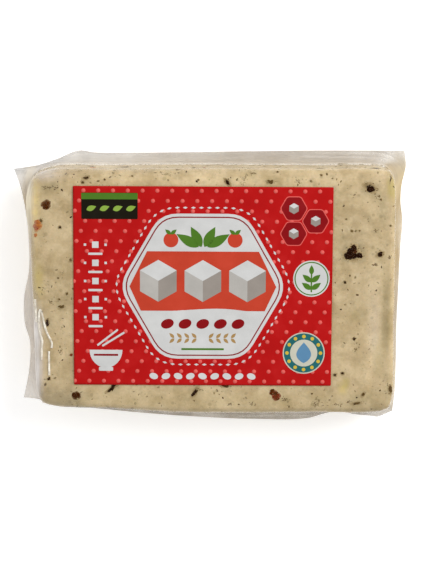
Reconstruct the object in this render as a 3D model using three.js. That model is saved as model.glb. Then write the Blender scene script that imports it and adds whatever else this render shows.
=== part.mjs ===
// A vacuum-packed block of tofu: a clear pouch drawn tight over the block, sealed all round at mid height,
// with a paper label stuck on its top face. Millimetres, +Z up. The pack lies on its back, with the label up
// and the label's top edge towards +Y. The origin is under the middle of the pack, on its base plane.
import * as THREE from "three";

// The block under the film, measured from the block's own centre.
const BLOCK_LENGTH = 127.5;
const BLOCK_WIDTH = 86.5;
const BLOCK_HEIGHT = 27;
const CORNER_RADII = { backLeft: 9, frontLeft: 5.2, frontRight: 4.6, backRight: 4.6 };
const FRONT_LEFT_TAPER = 2.2; // how far the front side draws in by the time it reaches the left corner
const FRONT_TAPER_RUN = 62; // how far that taper runs, from the middle of the front side
const LEFT_SIDE_LEAN = 2.8; // how much further out the left side stands at its back end than at its front end
const SIDE_BOW = 0.5; // how far the middle of the front, right and back sides stands proud of their ends

// Rounding of the block's edges, and how the film leaves the block.
const TOP_EDGE_RADIUS = 3.2;
const BASE_EDGE_RADIUS = 3;
const EDGE_DROP = 0.35; // how much lower the top face is at its edge than on the label's land
const WALL_BELLY = 0.5;
const WALL_BELLY_HEIGHT = 17;
const SEAM_HEIGHT = 11.2;
const SEAM_WAVE = 0.9;
const SEAM_WAVE_AT_FOOT = 0.3; // the share of that wave left where the skirt meets the block
const SKIRT_THICKNESS = 0.8;
const TENT_HEIGHT = 2.5; // how far above and below the seam the film starts to leave the wall
const TENT_OUTSET = 0.3;
const SKIRT_FOOT_OUTSET = 1.1;

// The rim of the sealed skirt, from ear to ear, anticlockwise seen from above, in the block's own frame.
const RIM_LEFT = [[-70.7, 42.5], [-68.8, 37.5], [-66.8, 28.2], [-65.8, 17], [-66, 6], [-67.9, -4],
  [-67.8, -13], [-66, -20], [-66.4, -29.5], [-68.6, -40.6]];
const RIM_FRONT = [[-68.6, -40.6], [-63.6, -41], [-60.6, -42.4], [-57, -43], [-53.2, -43.5], [-37.3, -44.9],
  [-26, -46], [-4.6, -47.6], [14, -48.4], [33.6, -48.2], [42.6, -45.9], [50, -45.8], [59, -47.8],
  [65.2, -45.5]];
const RIM_RIGHT = [[65.2, -45.5], [66, -38.5], [66.3, -28.6], [66.3, -12], [66.8, 3], [67.2, 15], [67.8, 24.2],
  [67, 31], [67.4, 37.5], [68.2, 41], [68.7, 44], [68.1, 48.9]];
const RIM_BACK = [[68.1, 48.9], [41.8, 48.9], [20, 48.7], [-5, 48.4], [-30, 48.1], [-41.8, 48.2],
  [-47.5, 48.9], [-56, 45.7], [-63, 43.6], [-70.7, 42.5]];

// The flat land that carries the label, and the label itself.
const LABEL_LENGTH = 90.6;
const LABEL_WIDTH = 70.2;
const LABEL_THICKNESS = 0.25;
const LABEL_CENTRE = [-3.4, 2.25];
const LABEL_TURN_DEG = -0.3;
const LABEL_CORNER_RADIUS = 0.4;
const LAND_MARGIN = 0.9;

// Soft dents in the top face, each an elliptical hollow with its reach each way and its depth.
const DENTS = [
  { x: 59.9, y: -9, reachX: 2, reachY: 15, depth: 0.75 }, // long groove beside the right edge
  { x: 51.4, y: -8.2, reachX: 4, reachY: 3.6, depth: 0.5 }, // shallow dimple beside it
  { x: -58.5, y: -16, reachX: 3.5, reachY: 14, depth: 0.6 }, // hollow along the left edge
  { x: 54, y: 24, reachX: 6, reachY: 7, depth: 0.4 }, // shallow dish near the back right corner
];

const STATIONS_PER_SPAN = 5;
const SHOULDER_STEPS = [0.3, 0.58, 0.8, 0.92];
const EDGE_ARC_STEPS = 4;
const COLOURS = { pouch: 0xc2ad84, label: 0xb9100c };
const ROUGHNESS = { pouch: 0.25, label: 0.5 };

const lerp = THREE.MathUtils.lerp;
const smoothstep = THREE.MathUtils.smoothstep;

// A smooth curve in plan through [x, y] points.
function planCurve(points, closed) {
  const vectors = points.map(([x, y]) => new THREE.Vector3(x, y, 0));
  return new THREE.CatmullRomCurve3(vectors, closed, "centripetal");
}

// A closed smooth curve round the block at its widest, whose control points are evenly numbered, and the
// numbers of the four corner points, in the order back left, front left, front right, back right.
function blockOutline() {
  const halfLength = BLOCK_LENGTH / 2;
  const halfWidth = BLOCK_WIDTH / 2;
  const frontAt = (x) => -halfWidth + FRONT_LEFT_TAPER * smoothstep(-x, 0, FRONT_TAPER_RUN);
  const leftAt = (y) => -halfLength - LEFT_SIDE_LEAN * (y / BLOCK_WIDTH);
  const frontLeft = [leftAt(-halfWidth), frontAt(-halfLength)];
  const corners = [
    { at: [leftAt(halfWidth), halfWidth], radius: CORNER_RADII.backLeft, into: [0, 1], out: [-1, 0] },
    { at: frontLeft, radius: CORNER_RADII.frontLeft, into: [-1, 0], out: [0, -1] },
    { at: [halfLength, -halfWidth], radius: CORNER_RADII.frontRight, into: [0, -1], out: [1, 0] },
    { at: [halfLength, halfWidth], radius: CORNER_RADII.backRight, into: [1, 0], out: [0, 1] },
  ];
  // Each side's points between its corners, before the bow is added. The left side has none.
  const sides = [
    { bow: 0, points: [[leftAt(14), 14], [leftAt(-14), -14]] },
    { bow: SIDE_BOW, points: [-36, -12, 12, 36].map((x) => [x, frontAt(x)]) },
    { bow: SIDE_BOW, points: [[halfLength, -14], [halfLength, 14]] },
    { bow: SIDE_BOW, points: [36, 12, -12, -36].map((x) => [x, halfWidth]) },
  ];
  const points = [];
  const cornerNumbers = [];
  corners.forEach(({ at, radius, into, out }, side) => {
    // The arc's centre lies one radius in from both of the sides that meet here.
    const centre = [at[0] - radius * (into[0] + out[0]), at[1] - radius * (into[1] + out[1])];
    const onArc = (a) => [
      centre[0] + radius * (into[0] * Math.cos(a) + out[0] * Math.sin(a)),
      centre[1] + radius * (into[1] * Math.cos(a) + out[1] * Math.sin(a)),
    ];
    points.push(onArc(0));
    cornerNumbers.push(points.length);
    points.push(onArc(Math.PI / 4), onArc(Math.PI / 2));
    const { bow, points: along } = sides[side];
    along.forEach(([x, y], i) => {
      const proud = bow * Math.sin((Math.PI * (i + 1)) / (along.length + 1));
      points.push([x + proud * out[0], y + proud * out[1]]);
    });
  });
  return { curve: planCurve(points, true), cornerNumbers, spans: points.length };
}

// The four corners of the land: the label's own corners, each pushed out by the margin.
function landCorners() {
  const turn = THREE.MathUtils.degToRad(LABEL_TURN_DEG);
  return [[-1, 1], [-1, -1], [1, -1], [1, 1]].map(([sx, sy]) => {
    const x = sx * (LABEL_LENGTH / 2 + LAND_MARGIN);
    const y = sy * (LABEL_WIDTH / 2 + LAND_MARGIN);
    return new THREE.Vector3(
      LABEL_CENTRE[0] + x * Math.cos(turn) - y * Math.sin(turn),
      LABEL_CENTRE[1] + x * Math.sin(turn) + y * Math.cos(turn),
      0,
    );
  });
}

// Stations round the pack. Each holds the point on the block's outline with its outward normal, the point of
// the land and the point of the rim that belong to it, and its place round the pack from 0 to 1.
function stationsRound() {
  const { curve, cornerNumbers, spans } = blockOutline();
  const rims = [RIM_LEFT, RIM_FRONT, RIM_RIGHT, RIM_BACK].map((points) => planCurve(points, false));
  const lands = landCorners();
  const stations = [];
  cornerNumbers.forEach((first, side) => {
    const last = side < 3 ? cornerNumbers[side + 1] : cornerNumbers[0] + spans;
    const count = (last - first) * STATIONS_PER_SPAN;
    const places = Array.from({ length: count + 1 }, (_, i) => lerp(first, last, i / count) / spans);
    const points = places.map((place) => curve.getPoint(place % 1));
    const lengths = [0];
    for (let i = 1; i <= count; i++) lengths.push(lengths[i - 1] + points[i].distanceTo(points[i - 1]));
    for (let i = 0; i < count; i++) {
      const along = lengths[i] / lengths[count];
      const tangent = curve.getTangent(places[i] % 1);
      stations.push({
        block: points[i],
        normal: new THREE.Vector3(tangent.y, -tangent.x, 0),
        land: lands[side].clone().lerp(lands[(side + 1) % 4], along),
        rim: rims[side].getPointAt(along),
        round: (side + along) / 4,
      });
    }
  });
  return stations;
}

function dentDepth(x, y) {
  return DENTS.reduce((sum, dent) => {
    const away = ((x - dent.x) / dent.reachX) ** 2 + ((y - dent.y) / dent.reachY) ** 2;
    return sum + dent.depth * Math.exp(-away);
  }, 0);
}

// How far the rim stands above or below the seam's mean height: a wave of three crests round the pack and a
// smaller one of seven.
function seamWave(round) {
  const turn = 2 * Math.PI * round;
  return SEAM_WAVE * (0.6 * Math.sin(3 * turn + 0.8) + 0.4 * Math.sin(7 * turn));
}

// The rings of the pouch from the land outwards over the edge to the rim, and back under it to the base.
function pouchRings(stations) {
  const outset = (s, distance, z) => s.block.clone().addScaledVector(s.normal, distance).setZ(z);
  const crest = (s) => {
    const point = outset(s, -TOP_EDGE_RADIUS, 0);
    return point.setZ(BLOCK_HEIGHT - EDGE_DROP - dentDepth(point.x, point.y));
  };
  const rings = [stations.map((s) => s.land.clone().setZ(BLOCK_HEIGHT))];
  for (const step of SHOULDER_STEPS) {
    rings.push(stations.map((s) => {
      const point = s.land.clone().lerp(crest(s), step);
      return point.setZ(BLOCK_HEIGHT - EDGE_DROP * step * step - dentDepth(point.x, point.y) * Math.sqrt(step));
    }));
  }
  rings.push(stations.map(crest));
  for (let i = 1; i <= EDGE_ARC_STEPS; i++) {
    const angle = (Math.PI / 2) * (i / EDGE_ARC_STEPS);
    const inset = TOP_EDGE_RADIUS * (1 - Math.sin(angle));
    const fall = TOP_EDGE_RADIUS * (1 - Math.cos(angle));
    rings.push(stations.map((s) => outset(s, -inset, crest(s).z - fall)));
  }

  const half = SKIRT_THICKNESS / 2;
  const skirtPoint = (s, blend, lift) => {
    const wave = seamWave(s.round) * lerp(SEAM_WAVE_AT_FOOT, 1, blend);
    return outset(s, SKIRT_FOOT_OUTSET, 0).lerp(s.rim, blend).setZ(SEAM_HEIGHT + wave + lift);
  };
  rings.push(stations.map((s) => outset(s, WALL_BELLY, WALL_BELLY_HEIGHT)));
  rings.push(stations.map((s) => outset(s, TENT_OUTSET + WALL_BELLY / 2, SEAM_HEIGHT + TENT_HEIGHT)));
  for (const blend of [0, 0.5, 1]) rings.push(stations.map((s) => skirtPoint(s, blend, half)));
  for (const blend of [1, 0.5, 0]) rings.push(stations.map((s) => skirtPoint(s, blend, -half)));
  rings.push(stations.map((s) => outset(s, TENT_OUTSET, SEAM_HEIGHT - TENT_HEIGHT)));

  for (let i = 0; i <= EDGE_ARC_STEPS; i++) {
    const angle = (Math.PI / 2) * (i / EDGE_ARC_STEPS);
    const inset = BASE_EDGE_RADIUS * (1 - Math.cos(angle));
    const height = BASE_EDGE_RADIUS * (1 - Math.sin(angle));
    rings.push(stations.map((s) => outset(s, -inset, height)));
  }
  return rings;
}

// A closed surface over rings of equal count, closed by a fan at the first ring and one at the last.
function skinOf(rings, firstCentre, lastCentre) {
  const count = rings[0].length;
  const vertices = [...rings.flat(), firstCentre, lastCentre];
  const firstHub = vertices.length - 2;
  const lastHub = vertices.length - 1;
  const lastRing = (rings.length - 1) * count;
  const faces = [];
  for (let j = 0; j < count; j++) {
    const next = (j + 1) % count;
    faces.push(firstHub, j, next);
    faces.push(lastHub, lastRing + next, lastRing + j);
    for (let i = 0; i + 1 < rings.length; i++) {
      const inner = i * count;
      const outer = inner + count;
      faces.push(inner + j, outer + j, outer + next);
      faces.push(inner + j, outer + next, inner + next);
    }
  }
  const geometry = new THREE.BufferGeometry().setFromPoints(vertices);
  geometry.setIndex(faces);
  geometry.computeVertexNormals();
  return geometry;
}

function pouchGeometry() {
  const landCentre = new THREE.Vector3(LABEL_CENTRE[0], LABEL_CENTRE[1], BLOCK_HEIGHT);
  return skinOf(pouchRings(stationsRound()), landCentre, new THREE.Vector3(0, 0, 0));
}

function labelGeometry() {
  const x = LABEL_LENGTH / 2;
  const y = LABEL_WIDTH / 2;
  const r = LABEL_CORNER_RADIUS;
  const outline = new THREE.Shape();
  outline.absarc(x - r, y - r, r, 0, Math.PI / 2);
  outline.absarc(-x + r, y - r, r, Math.PI / 2, Math.PI);
  outline.absarc(-x + r, -y + r, r, Math.PI, 1.5 * Math.PI);
  outline.absarc(x - r, -y + r, r, 1.5 * Math.PI, 2 * Math.PI);
  const options = { depth: LABEL_THICKNESS, bevelEnabled: false, curveSegments: 4 };
  const geometry = new THREE.ExtrudeGeometry(outline, options);
  geometry.rotateZ(THREE.MathUtils.degToRad(LABEL_TURN_DEG));
  geometry.translate(LABEL_CENTRE[0], LABEL_CENTRE[1], BLOCK_HEIGHT);
  return geometry;
}

function namedMesh(name, geometry) {
  const finish = { color: COLOURS[name], roughness: ROUGHNESS[name], metalness: 0 };
  const mesh = new THREE.Mesh(geometry, new THREE.MeshStandardMaterial(finish));
  mesh.name = name;
  return mesh;
}

const pack = new THREE.Group();
pack.add(namedMesh("pouch", pouchGeometry()));
pack.add(namedMesh("label", labelGeometry()));

// The pack is centred over the origin by the box of all its pieces.
const box = new THREE.Box3().setFromObject(pack);
const middle = box.getCenter(new THREE.Vector3());
for (const mesh of pack.children) mesh.geometry.translate(-middle.x, -middle.y, 0);

export default pack;
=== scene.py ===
"""A block of herb and tomato tofu in a clear vacuum pouch with a printed label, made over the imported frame.

Metres, +Z up, the label on top with its upper edge towards +Y. Every piece rides on the one body.
"""
import math
import random
from types import SimpleNamespace

import bpy
import numpy as np
from bpy.props import FloatProperty, FloatVectorProperty, IntProperty, PointerProperty
from bpy.types import Operator, Panel, PropertyGroup
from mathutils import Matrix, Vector, noise
from mathutils.bvhtree import BVHTree
from mathutils.geometry import delaunay_2d_cdt


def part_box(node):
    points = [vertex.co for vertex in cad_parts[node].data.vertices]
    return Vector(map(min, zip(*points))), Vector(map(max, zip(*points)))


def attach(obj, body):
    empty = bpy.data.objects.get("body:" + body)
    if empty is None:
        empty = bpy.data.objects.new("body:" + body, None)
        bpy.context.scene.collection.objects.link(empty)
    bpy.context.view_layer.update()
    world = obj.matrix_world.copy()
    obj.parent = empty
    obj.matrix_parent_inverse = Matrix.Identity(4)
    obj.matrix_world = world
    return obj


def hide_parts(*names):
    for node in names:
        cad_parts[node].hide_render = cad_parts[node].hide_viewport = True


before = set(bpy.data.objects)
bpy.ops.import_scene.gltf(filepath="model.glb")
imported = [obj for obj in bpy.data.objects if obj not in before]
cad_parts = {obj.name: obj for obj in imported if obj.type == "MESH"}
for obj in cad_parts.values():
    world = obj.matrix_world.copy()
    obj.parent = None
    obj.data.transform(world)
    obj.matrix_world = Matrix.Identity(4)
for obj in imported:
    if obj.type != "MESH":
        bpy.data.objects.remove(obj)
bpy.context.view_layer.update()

bl_info = {
    "name": "Vacuum-packed tofu block",
    "version": (1, 0, 0),
    "blender": (4, 5, 0),
    "location": "3D View > Sidebar > Tofu pack",
    "description": "Makes a speckled tofu block in its vacuum pouch, with a dotted paper label",
    "category": "Object",
}

MM = 0.001

# Lean of the camera towards the back, along which the bits laid one by one are placed.
CAMERA_TILT = math.radians(8)

# The block under the film, from its own middle, as in the solids.
BLOCK_LENGTH = 127.5 * MM
BLOCK_WIDTH = 86.5 * MM
CORNER_RADII = {"back left": 9 * MM, "front left": 5.2 * MM, "front right": 4.6 * MM, "back right": 4.6 * MM}
FRONT_LEFT_TAPER = 2.2 * MM
FRONT_TAPER_RUN = 62 * MM
LEFT_SIDE_LEAN = 2.8 * MM
SIDE_BOW = 0.5 * MM
TOP_EDGE_RADIUS = 3.2 * MM
RIGHT_EDGE_RADIUS = 2.2 * MM
BACK_EDGE_RADIUS = 3.0 * MM
LEFT_EDGE_RADIUS = 3.0 * MM
BASE_EDGE_RADIUS = 3 * MM
EDGE_DROP = 0.35 * MM
WALL_BELLY = 0.5 * MM
SEAM_HEIGHT = 11.2 * MM
SEAM_WAVE = 0.9 * MM
SEAM_WAVE_AT_FOOT = 0.3
TENT_HEIGHT = 2.5 * MM
SKIRT_FOOT_OUTSET = 1.1 * MM
LABEL_LENGTH = 90.6 * MM
LABEL_WIDTH = 70.2 * MM
LABEL_CENTRE = (-3.4 * MM, 2.25 * MM)
LABEL_TURN = math.radians(-0.3)
LABEL_CORNER_RADIUS = 0.4 * MM
LAND_MARGIN = 0.9 * MM

# How finely the skins are divided round the pack, over the top face and its edge, down the walls and below.
STATIONS_PER_SPAN = 28
LAND_SHARES = (0.15, 0.32, 0.49, 0.66, 0.82, 0.94, 1.0)
SHOULDER_STEPS = 26
TOP_EDGE_STEPS = 10
WALL_STEPS = 23
UPPER_WALL_STEPS = 12
TENT_STEPS = 7
SKIRT_BLENDS = np.concatenate([np.linspace(0, 0.94, 13)[1:], [0.975, 1.0]])
LOWER_WALL_STEPS = 7
BASE_EDGE_STEPS = 7
BASE_SHARES = (0.92, 0.84, 0.7, 0.55, 0.4, 0.2)

# The rim of the sealed skirt in millimetres, from ear to ear, anticlockwise seen from above.
RIM_LEFT = [(-70.7, 42.5), (-68.8, 37.5), (-66.8, 28.2), (-65.8, 17), (-66, 6), (-67.9, -4),
            (-67.8, -13), (-66, -20), (-66.4, -29.5), (-68.6, -40.6)]
RIM_FRONT = [(-68.6, -40.6), (-63.6, -41), (-60.6, -42.4), (-57, -43), (-53.2, -43.5), (-37.3, -44.9),
             (-26, -46), (-4.6, -47.6), (14, -48.4), (33.6, -48.2), (42.6, -45.9), (48.6, -46), (51, -46.6),
             (57.3, -47.3), (60, -47.6), (65.2, -45.5)]
RIM_RIGHT = [(65.2, -45.5), (66, -38.5), (66.3, -28.6), (66.3, -12), (66.8, 3), (67.2, 15), (67.8, 24.2),
             (67, 31), (67.4, 37.5), (68.2, 41), (68.7, 44), (68.1, 48.9)]
RIM_BACK = [(68.1, 48.9), (41.8, 48.9), (20, 48.7), (-5, 48.4), (-30, 48.1), (-41.8, 48.2),
            (-47.5, 48.9), (-56, 45.7), (-63, 43.6), (-70.7, 42.5)]

# Soft dents in the top face: middle, reach each way and depth, in millimetres.
DENTS = [
    (59.9, -9, 1.5, 15, 0.75),  # long groove beside the right edge
    (60.3, 27, 1.7, 6, 0.45),  # its short end near the back right corner
    (51.4, -8.2, 4, 3.6, 0.5),  # shallow dimple beside it
    (51, 2, 4.5, 9, 0.3),  # shallow trough above the dimple
    (-58.5, -16, 3.5, 14, 0.6),  # hollow along the left edge
    (52, 22, 5, 6, 0.35),  # shallow dish near the back right corner
]

# Stains in the curd, and painted shade and highlights where light falls unevenly on its grooves, dents and
# edges:
# middle, reach each way in millimetres, how much darker, and how much yellower.
STAINS_AND_PAINTED_LIGHT = [
    (60.9, -8, 1.9, 15, 1.15, 0.3),  # painted shade down the groove beside the right edge, a little yellower
    (59.2, 28, 1.6, 4, 1.2, 0.2),  # painted shade at its short end
    (50.6, 22.0, 5, 6, 0.3, 0.0),  # darker in the shallow dish
    (50.8, 0, 5.5, 7, 0.3, 0.0),  # darker in the shallow trough
    (51.4, -8.0, 3.4, 2.8, 0.55, 0.2),  # darker and a little yellower in the dimple
    (57.0, -14.8, 2.3, 11, -0.6, 0.0),  # painted highlight: pale band on the lit side of the groove
    (62.7, 37.4, 1.6, 4.4, 0.8, 1.5),  # whey in the back right corner
    (45.9, -33.9, 1.6, 2.3, -0.25, 0.65),  # spot of whey beside the label
    (46.9, -32.2, 1.2, 1.8, 0.9, 0.9),  # its dark end
    (52.6, -37.2, 4.0, 2.0, 0.45, 0.1),  # juice in the front right corner
    (54, -39.5, 11, 3.5, 0.6, 0.1),  # along the edge there
    (55.3, -26, 1.2, 9, -0.7, 0.0),  # pale streak
    (58.2, -22, 1.6, 7, 0.45, 0.3),  # dark streak beside it
    (-62.8, 33, 2.4, 8, -1.0, 0.7),  # pale curd with whey in the back left corner, paler still as painted light where it lies in shade
    (-56.5, 37.0, 6, 2.4, 0.35, 0.1),  # darker curd beside it
    (-61.0, 4, 1.8, 6, 0.25, 0.7),  # whey along the left edge
    (-62.6, 18, 1.4, 16, -0.4, 0.2),  # painted light on the left edge, which lies in the key light's shade
    (3, -42.8, 62, 1.3, 0.8, 0.2),  # painted shade along the front edge
    (-50.6, -2, 5, 3.5, 0.3, 0.0),  # left of the label
    (-45.5, 13, 3, 9, 0.0, 0.4),  # whey beside the label
    (0, -38.5, 60, 3, 0.12, 0.1),  # painted shade along the front strip
    (30, 40.5, 34, 4, 0.22, 0.0),  # back strip, to the right
    (0, 39.6, 62, 2.4, -0.6, 0.0),  # painted highlight along the lit back edge
    (63.4, -10, 1.2, 18, -0.5, 0.0),  # painted highlight along the lit right edge
    (-56, -38.5, 10, 5, 1.8, 0.1),  # painted shade, darkest, in the front left corner
]

# How deep each layer lies under the outside of the solids.
TOFU_INSET = 0.38 * MM
FILM_INSET = 0.22 * MM
LABEL_INSET = 0.02 * MM
LABEL_THICKNESS = 0.1 * MM
INK_STEP = 0.022 * MM

# Herb clumps near the top face: place and size in millimetres, stretch, turn in degrees, darkness 0 to 1.
HERB_CLUMPS = [
    (48.7, 13.3, 5.2, 1.7, 3, 1.0),
    (49.2, 15.0, 4.3, 1.0, 0, 1.0),
    (46.9, 13.4, 3.2, 1.1, 20, 1.0),
    (51.1, 13.4, 3.0, 1.2, 0, 1.0),
    (58.5, 13.6, 2.7, 1.2, 20, 0.93),
    (55.0, 36.9, 3.9, 1.5, -28, 1.0),
    (57.8, 33.9, 3.2, 1.6, -45, 0.5),
    (62.0, 40.4, 1.6, 9, 83, 0.95),
    (53.4, 38.4, 1.4, 1.4, -30, 0.5),
    (48.6, 21.8, 1.3, 1.0, 0, 0.6),
    (46.4, 3.8, 1.4, 1.0, 0, 0.95),
    (49.8, -16.2, 1.5, 1.0, 0, 0.9),
    (50.4, -20.2, 1.2, 1.2, 30, 0.4),
    (43.2, -29.2, 1.5, 1.3, 10, 0.9),
    (45.9, -28.7, 1.4, 1.0, 0, 0.95),
    (50.8, -39.4, 2.3, 3.6, 12, 0.62),
    (53.2, -36.2, 1.8, 1.7, 55, 0.72),
    (48.1, -38.9, 1.6, 1.4, 0, 0.5),
    (44.1, -39.9, 1.6, 3.0, 5, 0.5),
    (37.1, -39.7, 3.0, 2.2, 5, 0.54),
    (62.9, -34.6, 3.0, 2.0, -60, 0.72),
    (14.0, -39.7, 2.2, 1.3, 0, 0.52),
    (6.1, -39.7, 1.6, 1.4, 0, 0.52),
    (9.3, -39.8, 0.7, 1.4, 0, 0.7),
    (25.8, -38.0, 2.6, 1.6, -20, 0.5),
    (4.4, -32.8, 2.9, 2.0, 5, 0.85),
    (-6.2, -35.4, 3.0, 2.2, 50, 0.97),
    (-35.2, -33.6, 3.3, 3.6, 45, 0.97),
    (-57.9, -30.6, 1.5, 1.3, 40, 0.9),
    (-59.1, -32.6, 1.3, 1.6, 60, 0.7),
    (-58.2, -10.6, 2.4, 1.8, 80, 0.95),
    (-53.0, -4.9, 2.0, 2.0, 15, 0.66),
    (-56.6, -3.0, 2.2, 1.8, -25, 0.45),
    (-53.8, -2.2, 1.0, 1.2, 0, 0.6),
    (-51.0, -0.2, 1.2, 1.2, 60, 0.6),
    (-53.6, -20.8, 1.8, 1.6, 80, 0.4),
    (-53.2, 23.1, 1.4, 1.1, 0, 0.95),
    (-49.6, 11.6, 1.6, 1.4, 80, 0.6),
    (-43.9, 40.4, 2.0, 2.0, 0, 0.85),
    (-45.1, 38.8, 1.5, 1.2, -40, 0.75),
    (-37.5, 39.8, 0.9, 1.0, 0, 0.75),
    (-27.9, 41.1, 0.8, 1.2, 0, 0.7),
    (-15.8, 41.7, 2.8, 3.4, 4, 0.3),
    (-12.3, 43.3, 1.0, 3.0, 0, 0.6),
    (-4.9, 39.7, 0.8, 1.0, 0, 0.6),
    (-57.0, 37.1, 3.0, 3.0, 2, 0.52),
    (-54.6, 37.0, 2.2, 2.0, 0, 0.54),
    (5.2, 38.9, 2.4, 2.0, -55, 0.97),
    (11.5, 40.6, 3.4, 3.2, 70, 0.3),
    (13.8, 42.0, 2.0, 1.6, 0, 0.4),
    (20.1, 39.0, 2.2, 2.2, 5, 0.7),
    (22.6, 42.5, 1.0, 1.1, 0, 0.75),
    (30.0, 38.8, 2.4, 1.5, -20, 0.45),
    (37.9, 43.9, 2.0, 2.2, -5, 0.75),
    (37.8, 41.4, 1.0, 1.2, 0, 0.6),
    (46.6, 26.0, 0.9, 1.2, 0, 0.6),
    (51.3, 21.9, 0.9, 1.2, 0, 0.6),
    (62.1, 23.7, 0.9, 1.2, 0, 0.6),
    (58.6, 32.9, 0.9, 1.2, 0, 0.6),
    (57.2, 22.0, 1.2, 1.1, 0, 0.45),
    (62.0, 12.7, 1.5, 1.1, 0, 0.5),
    (57.2, 10.1, 1.7, 1.8, 10, 0.5),
    (-60.0, 25.4, 1.7, 1.3, 40, 0.62),
]

# Tomato pieces near the top face, given likewise, with ripeness from brown 0 to orange 1 at the end.
TOMATO_BITS = [
    (-58.0, 31.1, 4.1, 1.1, 20, 0.1),
    (-61.0, 23.8, 4.3, 1.7, 75, 0.84),
    (-61.5, 22.9, 2.3, 1.4, 70, 0.66),
    (-61.8, 20.4, 1.7, 1.3, 70, 0.9),
    (-48.2, -36.6, 3.8, 1.1, 0, 0.0),
    (-49.8, -22.0, 1.4, 1.1, 0, 0.25),
    (21.6, -35.6, 3.5, 1.4, -35, 0.2),
    (22.6, -37.0, 3.6, 1.1, 10, 0.3),
    (49.6, 14.6, 2.0, 1.2, 0, 0.02),
]

# The skirt's film round the pack: how far round from the back left ear, anticlockwise, each side being a
# quarter; share of the most haze; and colour. The milk down the left side is painted light where the skirt
# lies in the block's shadow, and the dark tint along the front is painted shade.
SKIRT_HAZE = [
    # down the left side, pale milk as painted light in the block's shadow
    (0.00, 0.8, "frost"), (0.03, 0.6, "milk_painted_light"), (0.07, 0.7, "milk_painted_light"), (0.15, 0.9, "milk_painted_light"), (0.22, 0.95, "milk_painted_light"),
    # along the front, a dark tint as painted shade
    (0.25, 0.8, "milk_painted_light"), (0.27, 0.8, "wet"), (0.30, 0.78, "painted_shade"), (0.45, 0.72, "painted_shade"),
    (0.475, 0.75, "grey"),
    # up the right side
    (0.50, 0.7, "grey"), (0.52, 0.7, "wet"), (0.565, 0.8, "pearl"), (0.61, 0.8, "pearl"),
    (0.66, 0.82, "wet"), (0.70, 0.75, "wet"), (0.73, 1.1, "cream"),
    # along the back
    (0.75, 0.6, "pearl"), (0.765, 0.95, "grey"), (0.85, 1.15, "grey"), (0.92, 0.95, "pearl"),
    (1.00, 0.8, "frost"),
]

# Where the film lies loose on the block, with painted light where it lies in shade and a painted highlight of
# glare beside the right groove: middle, reach each way in millimetres, how hazy, and colour.
LOOSE_FILM = [
    (-30, 43.5, 40, 1.6, 0.12, "pearl"),  # along the back edge
    (63.0, 42.2, 2.0, 2.0, 0.8, "wet"),  # round the back right corner
    (66.6, 38, 2.0, 8, 0.55, "wet"),  # the back right corner
    (65.2, -5, 1.5, 36, 0.4, "wet"),  # along the right edge
    (-64.6, 32, 2.2, 10, 0.85, "cream"),  # the back left corner
    (-60.0, 41.8, 7, 2.6, 0.38, "milk_painted_light"),  # above it
    (-64.8, 37.5, 2.2, 4, 0.3, "milk_painted_light"),  # beside it
    (-64.4, 12, 1.5, 22, 0.35, "milk_painted_light"),  # along the left edge
    (-62.2, -14, 1.9, 8, 0.85, "milk_painted_light"),  # over the hollow of the left edge, pale as painted light on its shade
    (-62.2, -29, 1.9, 9, 0.8, "milk_painted_light"),  # below it
    (-48, -42.0, 16, 0.7, 0.78, "frost"),  # along the front edge
    (57.0, -14, 2.3, 12, 0.16, "milk_painted_light"),  # painted highlight: the film's glare beside the groove near the right edge
]

# Pinched folds of the film near the top face: share of the full width, then points in millimetres.
FILM_FOLDS = [
    (0.9, [(-60.4, -23.8), (-60.3, -20.0), (-60.0, -17.2), (-60.9, -14.8), (-61.4, -12.6), (-61.3, -9.0),
           (-60.9, -6.6), (-60.4, -6.3), (-59.8, -8.2), (-59.0, -12.4), (-57.9, -15.4), (-56.8, -17.7),
           (-56.9, -19.6)]),
    (1.0, [(-57.8, -20.8), (-57.8, -25.0), (-57.7, -29.4)]),
    (0.5, [(-63.0, -2.4), (-63.1, -6.0), (-63.0, -10.6)]),
]


def label_place():
    """The middle of the label in plan and the height of its underside, read from the frame."""
    low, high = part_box("label")
    return (low.x + high.x) / 2, (low.y + high.y) / 2, low.z


# How far the block's own middle lies from the origin, which is under the middle of the whole pack.
BLOCK_SHIFT = np.array(label_place()[:2]) - np.array(LABEL_CENTRE)
LAND_HEIGHT = label_place()[2]


# ---- Curves and rings ------------------------------------


def smoothstep(value, low, high):
    share = np.clip((value - low) / (high - low), 0, 1)
    return share * share * (3 - 2 * share)


def curve_points(points, closed, places):
    """Points at places from 0 to 1 on a centripetal Catmull-Rom curve through the points given."""
    points = np.asarray(points, float)
    count = len(points)
    if closed:
        reach = points[np.arange(-1, count + 2) % count]
        spans = count
        at = (places % 1) * spans
    else:
        reach = np.vstack([2 * points[0] - points[1], points, 2 * points[-1] - points[-2]])
        spans = count - 1
        at = places * spans
    span = np.minimum(at.astype(int), spans - 1)
    t = (at - span)[:, None]
    p0, p1, p2, p3 = (reach[span + k] for k in range(4))
    d0, d1, d2 = (np.sum((b - a) ** 2, axis=1)[:, None] ** 0.25 for a, b in ((p0, p1), (p1, p2), (p2, p3)))
    leave = ((p1 - p0) / d0 - (p2 - p0) / (d0 + d1) + (p2 - p1) / d1) * d1
    arrive = ((p2 - p1) / d1 - (p3 - p1) / (d1 + d2) + (p3 - p2) / d2) * d1
    bend = 3 * (p2 - p1) - 2 * leave - arrive
    return p1 + t * leave + t**2 * bend + t**3 * (2 * (p1 - p2) + leave + arrive)


def even_points(points, shares):
    """Points at shares of the length of an open curve."""
    dense = curve_points(points, False, np.linspace(0, 1, 401))
    steps = np.linalg.norm(np.diff(dense, axis=0), axis=1)
    lengths = np.concatenate([[0], np.cumsum(steps)])
    at = shares * lengths[-1]
    return np.column_stack([np.interp(at, lengths, dense[:, k]) for k in range(2)])


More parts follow.
